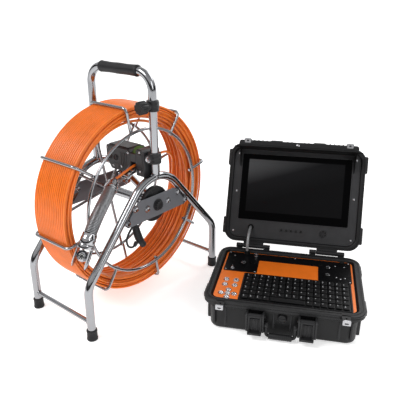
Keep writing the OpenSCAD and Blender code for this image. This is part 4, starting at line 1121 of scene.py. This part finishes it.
socket(-127.5, 54, 10, 7)
socket(115.5, 76, 9, 5)
socket(115, 34, 9, 5)
for x, y, r in ((-156, 60, 5), (-92, 57, 4)):
    at = in_case(x, y, PZ + 1.5)
    s.slot = 1
    s.lathe([(r * 0.55, -0.2), (r, -0.2), (r, 1.0), (r * 0.85, 1.6), (r * 0.6, 1.7),
            (r * 0.55, 1.2)], 28, at, closed=True)
    s.lathe([(0, 0.1), (r * 0.56, 0.1), (r * 0.5, 0.5), (0, 0.5)], 24, at)
at = in_case(-155.5, 18, PZ + 1.5)
s.slot = 0
s.lathe([(0, 0), (6, 0), (6, 1.4), (5.2, 2.0), (0, 2.0)], 6, at)
s.lathe([(0, 1.5), (3.6, 1.5), (3.6, 4.2), (3.0, 4.8), (0, 4.8)], 24, at)
s.lathe([(0, 0), (1.2, 0), (1.5, 3.4), (1.8, 6), (1.5, 7.2), (0, 7.5)], 16, at @ moved(0, 0, 3.5) @ turned("X", 16))
at = in_case(155, 106, PZ + 1.5)
s.slot = 1
s.lathe([(0, 0), (7, 0), (7, 1), (6.2, 1.4), (6.0, 6.4), (5.4, 7), (0, 7)], 32, at)
for k in range(18):
    s.block((5.7, -0.35, 1.4), (6.4, 0.35, 6.6), at @ turned("Z", 20 * k), 0.2)
at = in_case(94, 88, PZ + 1.5)
s.lathe([(3.6, 0), (5.6, 0), (5.6, 1.6), (4.8, 2.2), (3.8, 2.0)], 28, at, closed=True)
for x, y in ((136, 91), (138, 26), (162, 90), (161, 26), (149, 20), (-174, 10), (-90, 10), (-174, 112), (174, 6),
             (174, 112), (20, 112), (-159, 95)):
    at = in_case(x, y, PZ + 1.5)
    s.slot = 0
    s.lathe([(0, -0.1), (2.6, -0.1), (2.6, 0.5), (1.9, 1.1), (1.1, 1.2), (1.0, 0.5), (0, 0.5)], 20, at)
at = in_case(-96, 104, PZ)
s.lathe([(0, 0.5), (6, 0.5), (6, 2.6), (5.4, 3), (4.2, 3), (4.2, 4.2), (4.8, 4.6), (4.8, 10.4), (4.4, 11), (3.4, 11),
         (3.2, 10.4), (3.2, 4), (0, 4)], 32, at)
for t in (0, 180):
    s.lathe([(0, 4.3), (0.9, 4.3), (0.9, 5.8), (0.5, 6.1), (0, 6.1)], 12, at @ moved(0, 0, 8) @ turned("Z", t) @ TO_X)
s.slot = 1
s.lathe([(0, 3.8), (3.1, 3.8), (3.1, 4.6), (0.8, 4.8), (0.7, 8), (0, 8.2)], 20, at)
s.make("panel_connectors", "case_base", ["socket_metal", "gasket_black"], replace=("panel_sockets",))

# Bright rings and domed buttons.
FUNCTIONS = [(-162, -46), (-135, -46), (-162, -73), (-135, -73)]
CROSS = [(-148 + 17.5 * x, -116 + 17.5 * y) for x, y in ((0, 1), (-1, 0), (0, 0), (1, 0), (0, -1))]
NAMES = ["function_button_%d" % k for k in (1, 2, 3, 4)] + ["arrow_up", "arrow_left", "select_button",
                                                             "arrow_right", "arrow_down"]
s = Shape()
for x, y in FUNCTIONS + CROSS:
    s.lathe([(6.5, -0.2), (8.2, -0.2), (8.2, 1.0), (7.6, 1.8), (6.9, 2.0), (6.5, 1.6)], 36,
            in_case(x, y, PZ), closed=True)
s.slot = 1
for x, y in FUNCTIONS:
    s.block((x - 5, y + 10.6, PZ - 0.1), (x + 5, y + 12.0, PZ + 0.12), CASE_MM, 0.05)
s.make("button_rings", "case_base", ["socket_metal", "legend"])
for name, (x, y) in zip(NAMES, FUNCTIONS + CROSS):
    s = Shape()
    s.lathe([(0, -1), (4.8, -1), (4.8, 1.85), (6.0, 1.85), (6.2, 2.2), (6.1, 3.0), (5.4, 3.6), (3.8, 4.0),
             (2.0, 3.8), (0, 3.7)], 36, in_case(x, y, PZ))
    s.make(name + "_dome", name, "button_metal", replace=(name,), sharp=60)

# Latches: a hooked plate with raised ribs, hung from a pin.
LATCH_PIN = moved(0, -179, 72) @ TO_X
for name, c in (("latch_left", -66), ("latch_right", 66)):
    s = Shape()
    at = in_case(c, 0, 0)
    pin(s, 6, 18, 28, at @ LATCH_PIN)
    pin(s, 3, 26, 20, at @ LATCH_PIN, 0.6)
    side = [(-171.2, 70), (-176.6, 74), (-184, 70), (-184.6, 62), (-182.4, 40), (-183.2, 28), (-190, 24.5),
            (-190, 19.4),
            (-188, 18), (-174, 18), (-171.2, 20)]
    for x0, x1 in ((-18, -12.4), (12.4, 18)):
        s.prism(side, x0, x1, at @ ACROSS, 0.8)
    s.block((-13, -178.2, 20), (13, -171.4, 70), at, 0.8)
    s.block((-17.6, -190, 18), (17.6, -176, 24.6), at, 1.8)
    for x in (-7, 0, 7):
        s.block((x - 1.4, -180.2, 30), (x + 1.4, -177.6, 60), at, 0.7)
    s.block((-12, -181, 61), (12, -177.6, 64), at, 0.8)
    s.make(name + "_body", name, "case_black", replace=(name,))

# Carry handle: a bent bar with a ribbed grip.
PIVOT, GRIP = (-172, 46), (-174, 13)
s = Shape()
path = rounded_path([(-37.5, *PIVOT), (-36.5, *GRIP), (36.5, *GRIP), (37.5, *PIVOT)], [9, 9], 6)
s.sweep(path, 4.6, 16, at=CASE_MM)
s.lathe([(0, -30), (7.2, -30), (8, -29), (8, 29), (7.2, 30), (0, 30)], 28,
        in_case(0, *GRIP) @ TO_X)
for k in range(-5, 6):
    s.lathe([(7.6, -1.5), (8.4, -1), (8.4, 1), (7.6, 1.5)], 28, in_case(4.8 * k, *GRIP) @ TO_X, closed=True)
for sx in (-1, 1):
    s.lathe([(0, 33), (6.7, 33), (7.4, 34), (7.4, 41), (6.7, 41.8), (4, 41.8), (4, 46.6), (3.4, 47), (0, 47)], 28,
            in_case(0, *PIVOT) @ turned("Y", 90 * sx))
s.make("case_handle_body", "case_handle", "case_black", replace=("case_handle",), sharp=50)

# Purge valve under the rim.
s = Shape()
at = in_case(2, -154.2, 60) @ TO_Y
s.lathe([(0, -6), (11, -6), (11.9, 0.4), (11.9, 8.6), (11, 10.4), (9.4, 11.4), (8.8, 11.0), (8.6, 9.8),
        (0, 9.8)], 36, at)
for k in range(20):
    s.block((11.3, -0.7, 1), (12.2, 0.7, 8.8), at @ turned("Z", 18 * k), 0.3)
s.block((-8, -1.2, 9.6), (8, 1.2, 11.2), at, 0.4)
s.make("purge_valve_body", "case_base", "case_black", replace=("purge_valve",))


# ---------- lid and monitor ----------

LM = 167  # the lid's middle, up from the hinge
FACE_Z = -6  # the monitor's face
SPEAKER = (96, 56)


def lid_ring(w, d, r, z):
    return level(round_rect(w, d, r, 0, LM, 9), z)


s = Shape()
s.loft([lid_ring(*ring) for ring in
        ((150, 100, 10, -9.4), (192.8, 140.8, 25.8, -9.2), (193, 141, 26, -7), (194, 142, 27, -1.6),
         (195.2, 143.2, 27.6, -0.4), (197, 145, 29, 0), (200, 148, 31, 0), (200.4, 148.4, 31.4, -0.9),
         (203, 151, 33.4, -0.9), (203.4, 151.4, 33.8, 0), (205.6, 153.6, 35, 0), (207, 155, 36, -1.6),
         (207, 155, 36, -10.6), (205.6, 153.6, 35, -12), (199.4, 147.4, 31, -12.8), (198, 146, 30, -14.6),
         (196.6, 144.6, 29, -46), (195, 143, 28, -49.6), (191.6, 139.6, 26, -51.6), (187, 135, 22, -52))], LID_MM)
s.prism(round_rect(184, 12, 8, 0, 321, 6), -11.6, -1.7, LID_MM, 1.2)
for k in range(22):
    x = -136 + 272 * k / 21
    if abs(abs(x) - 66) > 26 and abs(x) > 18:
        s.block((x - 1.5, 328, -12.4), (x + 1.5, 335.4, -3.2), LID_MM, 0.7)
for c in (-66, 66):
    flank = [(c - 25, 316), (c + 25, 316), (c + 25, 328), (c + 17, 336), (c - 17, 336), (c - 25, 328)]
    s.prism(flank, -20, -3.4, LID_MM, 1.6)
    s.block((c - 14.5, 314, -30), (c - 11, 320, -14), LID_MM, 1)
    s.block((c + 11, 314, -30), (c + 14.5, 320, -14), LID_MM, 1)
for sx in (-1, 1):
    padlock_tab(s, LID_MM, sx * 157, 324.5, 14.5, 331, -12, -3)
    for y in (34, 250):
        s.block((sx * 207 - 6, y, -14), (sx * 207 + 6, y + 52, -1.2), LID_MM, 3)
        for k in range(3):
            s.block((sx * 196 - 4, y + 10 + 14 * k, -46), (sx * 196 + 4, y + 15 + 14 * k, -13), LID_MM, 1.4)
for x in (-176, -146, -112, -20, 24, 112, 146, 176):
    s.block((x - 3, 308, -44), (x + 3, 315.5, -13), LID_MM, 1.4)
for x in (-150, -90, -30, 30, 90, 150):
    s.block((x - 3, 60, -54), (x + 3, 276, -50), LID_MM, 1.4)
for y in (60, 272):
    s.block((-153, y, -54), (153, y + 6, -50), LID_MM, 1.4)
for c in (-112, 112):
    pin(s, 7, 31.5, 28, in_lid(c, 0, 0) @ TO_X)
    s.block((c - 31, 0, -7), (c + 31, 20, -1), LID_MM, 1.2)
s.make("lid_shell_body", "case_lid", "case_black", replace=("lid_shell",))


def border(s, inner, outer, z0, z1, cy_in=0.0, cy_out=0.0, ri=3.0, ro=5.0):
    """A raised lip between two rounded rectangles, with rolled edges."""
    (wi, di), (wo, do) = inner, outer
    s.loft([level(round_rect(w, d, r, 0, cy, 9), z) for w, d, r, cy, z in
            ((wo, do, ro, cy_out, z0), (wo, do, ro, cy_out, z1 - 0.5), (wo - 0.6, do - 0.6, ro, cy_out, z1),
             (wi + 0.6, di + 0.6, ri, cy_in, z1), (wi, di, ri, cy_in, z1 - 0.5), (wi, di, ri, cy_in, z0))], LID_MM, closed=True)


s = Shape()
for sx in (-1, 1):
    plate = round_rect(9.4, 7, 2, sx * 157, 331.4, 5)
    turns = [math.atan2(q - 331, p - sx * 157) for p, q in plate]
    hole = [(sx * 157 + 3.7 * math.cos(a), 331 + 3.7 * math.sin(a)) for a in turns]
    s.loft([level(plate, -3.4), level(plate, -1.5), level(hole, -1.2), level(hole, -3.4)], LID_MM, closed=True)
s.lathe([(0, -1.9), (4.6, -1.9), (4.9, -1.2), (4, -0.6), (0, -0.5)], 28, in_lid(0, 323, 0))
s.make("lid_hasp_plates", "case_lid", "polished_steel")

s = Shape()
border(s, (189, 137), (192.7, 140.7), -7, -5.2, LM, LM, 22, 25.6)
border(s, (167.6, 103.6), (171, 107), -7, -5.0, 186, 186, 3, 6)
# Speaker: a shallow rim round rings of small ribs.
at = in_lid(*SPEAKER, FACE_Z)
s.lathe([(11.6, -0.5), (13.6, -0.5), (13.6, 0.4), (12.8, 1.0), (11.6, 0.6)], 40, at, closed=True)
for r in (2.4, 5.2, 8.0, 10.8):
    s.lathe([(r - 0.6, -0.3), (r + 0.6, -0.3), (r + 0.6, 0.3), (r, 0.6), (r - 0.6, 0.3)], 36, at, closed=True)
for k in range(6):
    s.block((0.6, -0.5, -0.3), (11.8, 0.5, 0.7), at @ turned("Z", 60 * k), 0.2)
for k in range(5):
    s.lathe([(3.7, -0.3), (5.0, -0.3), (5.0, 0.4), (4.4, 0.9),
            (3.8, 0.6)], 28, in_lid(-30 + 15 * k, 57, FACE_Z), closed=True)
s.make("monitor_trim", "case_lid", "bezel_grey")
s = Shape()
at = in_lid(*SPEAKER, FACE_Z)
s.lathe([(0, 0.02), (11.8, 0.02), (11.8, 0.2), (0, 0.2)], 36, at)
s.make("speaker_mesh", "case_lid", "gasket_black")
s = Shape()
for x in (-180, 180):
    for y in (44, 170, 290):
        s.lathe([(0, -0.2), (3.2, -0.2), (3.2, 0.6), (2.2, 1.3), (1.2, 1.3), (1.1, 0.5),
                (0, 0.5)], 20, in_lid(x, y, FACE_Z))
s.make("monitor_screws", "case_lid", "socket_metal")

s = Shape()
s.block((-168, 82, -8), (168, 290, -5.6), LID_MM, 0.6)
s.make("display_glass_sheet", "case_lid", "screen_glass", replace=("display_glass",))
# The display's active area, whose material carries a painted reflection of a lit room.
s = Shape()
s.block((-147, 108, -5.7), (147, 273.4, -5.45), LID_MM, 0.1)
s.make("display_lit_area", "case_lid", "lcd_face")
s = Shape()
for k in range(5):
    s.lathe([(0, -0.6), (3.45, -0.6), (3.45, 0.6), (3.1, 1.2), (1.8, 1.45),
            (0, 1.5)], 24, in_lid(-30 + 15 * k, 57, FACE_Z))
s.make("monitor_button_caps", "monitor_buttons", "button_black", replace=("monitor_buttons",), sharp=60)


# ---------- sunshade ----------

def cloth(s, corner, cols=48, rows=12, thick=2.6):
    """A padded sheet: corner(u, v) gives its middle, and its outward direction is worked out from it."""
    grid = []
    for j in range(rows + 1):
        for i in range(cols + 1):
            u, v = i / cols, j / rows
            p = Vector(corner(u, v))
            du = Vector(corner(min(1, u + 0.01), v)) - Vector(corner(max(0, u - 0.01), v))
            dv = Vector(corner(u, min(1, v + 0.01))) - Vector(corner(u, max(0, v - 0.01)))
            n = du.cross(dv).normalized()
            edge = min(u, 1 - u, v, 1 - v)
            t = thick / 2 * (1.0 if edge > 0.03 else 1.18) if edge > 0 else thick / 3
            grid.append((p + n * t, p - n * t))
    faces = []
    n1 = cols + 1
    total = n1 * (rows + 1)
    verts = [a for a, b in grid] + [b for a, b in grid]
    for j in range(rows):
        for i in range(cols):
            q = j * n1 + i
            faces.append((q, q + 1, q + n1 + 1, q + n1))
            faces.append((total + q, total + q + n1, total + q + n1 + 1, total + q + 1))
    rim = list(range(cols)) + [cols + n1 * j for j in range(rows)] + \
          [n1 * rows + cols - i for i in range(cols)] + [n1 * (rows - j) for j in range(rows)]
    for a, b in zip(rim, rim[1:] + rim[:1]):
        faces.append((a, total + a, total + b, b))
    return s.add(verts, faces, LID_MM)


def flap(u, v):
    half = 176 + 15 * v
    x = half * (2 * u - 1)
    ripple = 0.7 * math.sin(9 * u + 2.2 * v) * math.sin(math.pi * v) + 0.35 * math.sin(31 * u + 4 * v) * v
    return (x, 304 + ripple, -2.4 + 59 * v)


s = Shape()
cloth(s, flap)
for z, grow in ((2, 0.4), (52, 12.4)):
    s.sweep([(x, 304, z) for x in range(int(-176 - grow + 4), int(176 + grow - 3), 8)], 1.75, 8, at=LID_MM)
front_cloth = s.make("sunshade_cloth", "sunshade", "hood_fabric", replace=("sunshade_flap",), sharp=70)

s = Shape()
for sx in (-1, 1):
    def gusset(u, v, sx=sx):
        y = 302 - 54 * u * (1 - v)
        z = -5.2 + 61 * v
        return (sx * (173.3 + 0.35 * math.sin(7 * u + 5 * v)), y, z)
    cloth(s, gusset, 16, 20, 1.4)
side_cloth = s.make("sunshade_sides", "case_lid", "hood_fabric", replace=("sunshade_gussets",), sharp=70)
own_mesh(side_cloth)


# ---------- cable between base and lid ----------

CABLE = [(-126, 116, 89), (-126, 116.4, 98), (-126, 118, 110), (-126, 121, 120), (-126, 131, 136), (-125, 147, 146),
         (-125, 165, 149.5), (-125, 184, 149.2)]
s = Shape()
line = catmull(CABLE, 14)
widths = [4.0 + (0.32 if k % 3 == 0 else -0.1) for k in range(len(line))]
s.sweep(line, widths, 16, at=CASE_MM)
lead = s.make("lid_cable_sleeve", None, "cable_sleeve", replace=("lid_cable",), sharp=80)
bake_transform(lead)
s = Shape()
s.lathe([(4.2, 0), (9, 0), (9, 1.2), (7.2, 2.4), (6.4, 6), (5.2, 9),
        (4.3, 9.6)], 32, in_case(-126, 116, PZ + 1.4), closed=True)
s.make("cable_grommet_base", "case_base", "gasket_black")
s = Shape()
s.lathe([(4.2, -1), (9, -1), (9, 1), (7.2, 2.2), (6.4, 5), (5.4, 7), (4.3, 7.4)], 32, in_lid(-125, 59, FACE_Z),
        closed=True)
s.make("cable_grommet_lid", "case_lid", "gasket_black")


# ---------- floor and lights ----------

def stage_material(name, colour, rough, glow):
    m = bpy.data.materials.new(name)
    m.use_nodes = True
    shader = m.node_tree.nodes["Principled BSDF"]
    shader.inputs["Base Color"].default_value = (*colour, 1)
    shader.inputs["Roughness"].default_value = rough
    shader.inputs["Emission Color"].default_value = (1, 1, 1, 1)
    shader.inputs["Emission Strength"].default_value = glow
    return m


mesh = bpy.data.meshes.new("floor")
far, wide, rise = 9.0, 14.0, 6.0
rows = []
for k in range(13):
    a = math.pi / 2 * k / 12
    rows.append((far - 3 + 3 * math.sin(a), 3 - 3 * math.cos(a)))
profile = [(-6.0, 0.0)] + rows + [(far, rise)]
verts = [(x, y, z - 0.0002) for y, z in profile for x in (-wide, wide)]
faces = [(2 * k, 2 * k + 1, 2 * k + 3, 2 * k + 2) for k in range(len(profile) - 1)]
mesh.from_pydata(verts, [], faces)
for p in mesh.polygons:
    p.use_smooth = True
mesh.materials.append(stage_material("floor_paint", (0.93, 0.93, 0.93), 0.9, 0.5))
floor = bpy.data.objects.new("floor", mesh)
floor.rotation_euler = (0, 0, math.radians(39))
scene.collection.objects.link(floor)

world = bpy.data.worlds.new("studio")
scene.world = world
world.use_nodes = True
wn, wl = world.node_tree.nodes, world.node_tree.links
background = wn["Background"]
place = wn.new("ShaderNodeTexCoord")
split = wn.new("ShaderNodeSeparateXYZ")
wl.new(place.outputs["Generated"], split.inputs[0])
ramp = wn.new("ShaderNodeValToRGB")
stops = [(0.0, 0.6), (0.46, 0.4), (0.50, 0.03), (0.63, 0.05), (0.69, 0.85), (0.80, 0.95), (1.0, 0.55)]
elements = ramp.color_ramp.elements
elements[0].position, elements[0].color = stops[0][0], (stops[0][1],) * 3 + (1,)
elements[1].position, elements[1].color = stops[-1][0], (stops[-1][1],) * 3 + (1,)
for at, v in stops[1:-1]:
    elements.new(at).color = (v, v, v, 1)
half = wn.new("ShaderNodeMath")
half.operation = "MULTIPLY_ADD"
wl.new(split.outputs["Z"], half.inputs[0])
half.inputs[1].default_value = 0.5
half.inputs[2].default_value = 0.5
wl.new(half.outputs[0], ramp.inputs["Fac"])
wl.new(ramp.outputs["Color"], background.inputs["Color"])
background.inputs["Strength"].default_value = 0.75


def area_light(name, place, target, size, power):
    data = bpy.data.lights.new(name, "AREA")
    data.shape = "RECTANGLE"
    data.size, data.size_y = size
    data.energy = power
    light = bpy.data.objects.new(name, data)
    light.location = place
    light.rotation_euler = (Vector(target) - Vector(place)).to_track_quat("-Z", "Y").to_euler()
    scene.collection.objects.link(light)


area_light("key", (-0.9, -1.9, 2.6), (0, 0, 0.25), (1.4, 1.0), 46)
area_light("fill", (2.3, -0.9, 1.6), (0, 0, 0.3), (0.5, 1.6), 14)
area_light("back", (0.2, 2.4, 2.4), (0, 0, 0.4), (2.2, 0.8), 30)
scene.view_settings.view_transform = "Standard"


# ---------- the end ----------

def check_materials():
    record = frame["record"]
    slot_of = {p["node"]: p["material_slot"] for p in record["subparts"]}
    for name, obj in NODES.items():
        if obj.hide_render:
            continue
        m = MATERIALS[slot_of[name]]
        for s in obj.material_slots:
            s.material = m
        if not obj.material_slots:
            obj.data.materials.append(m)


check_materials()
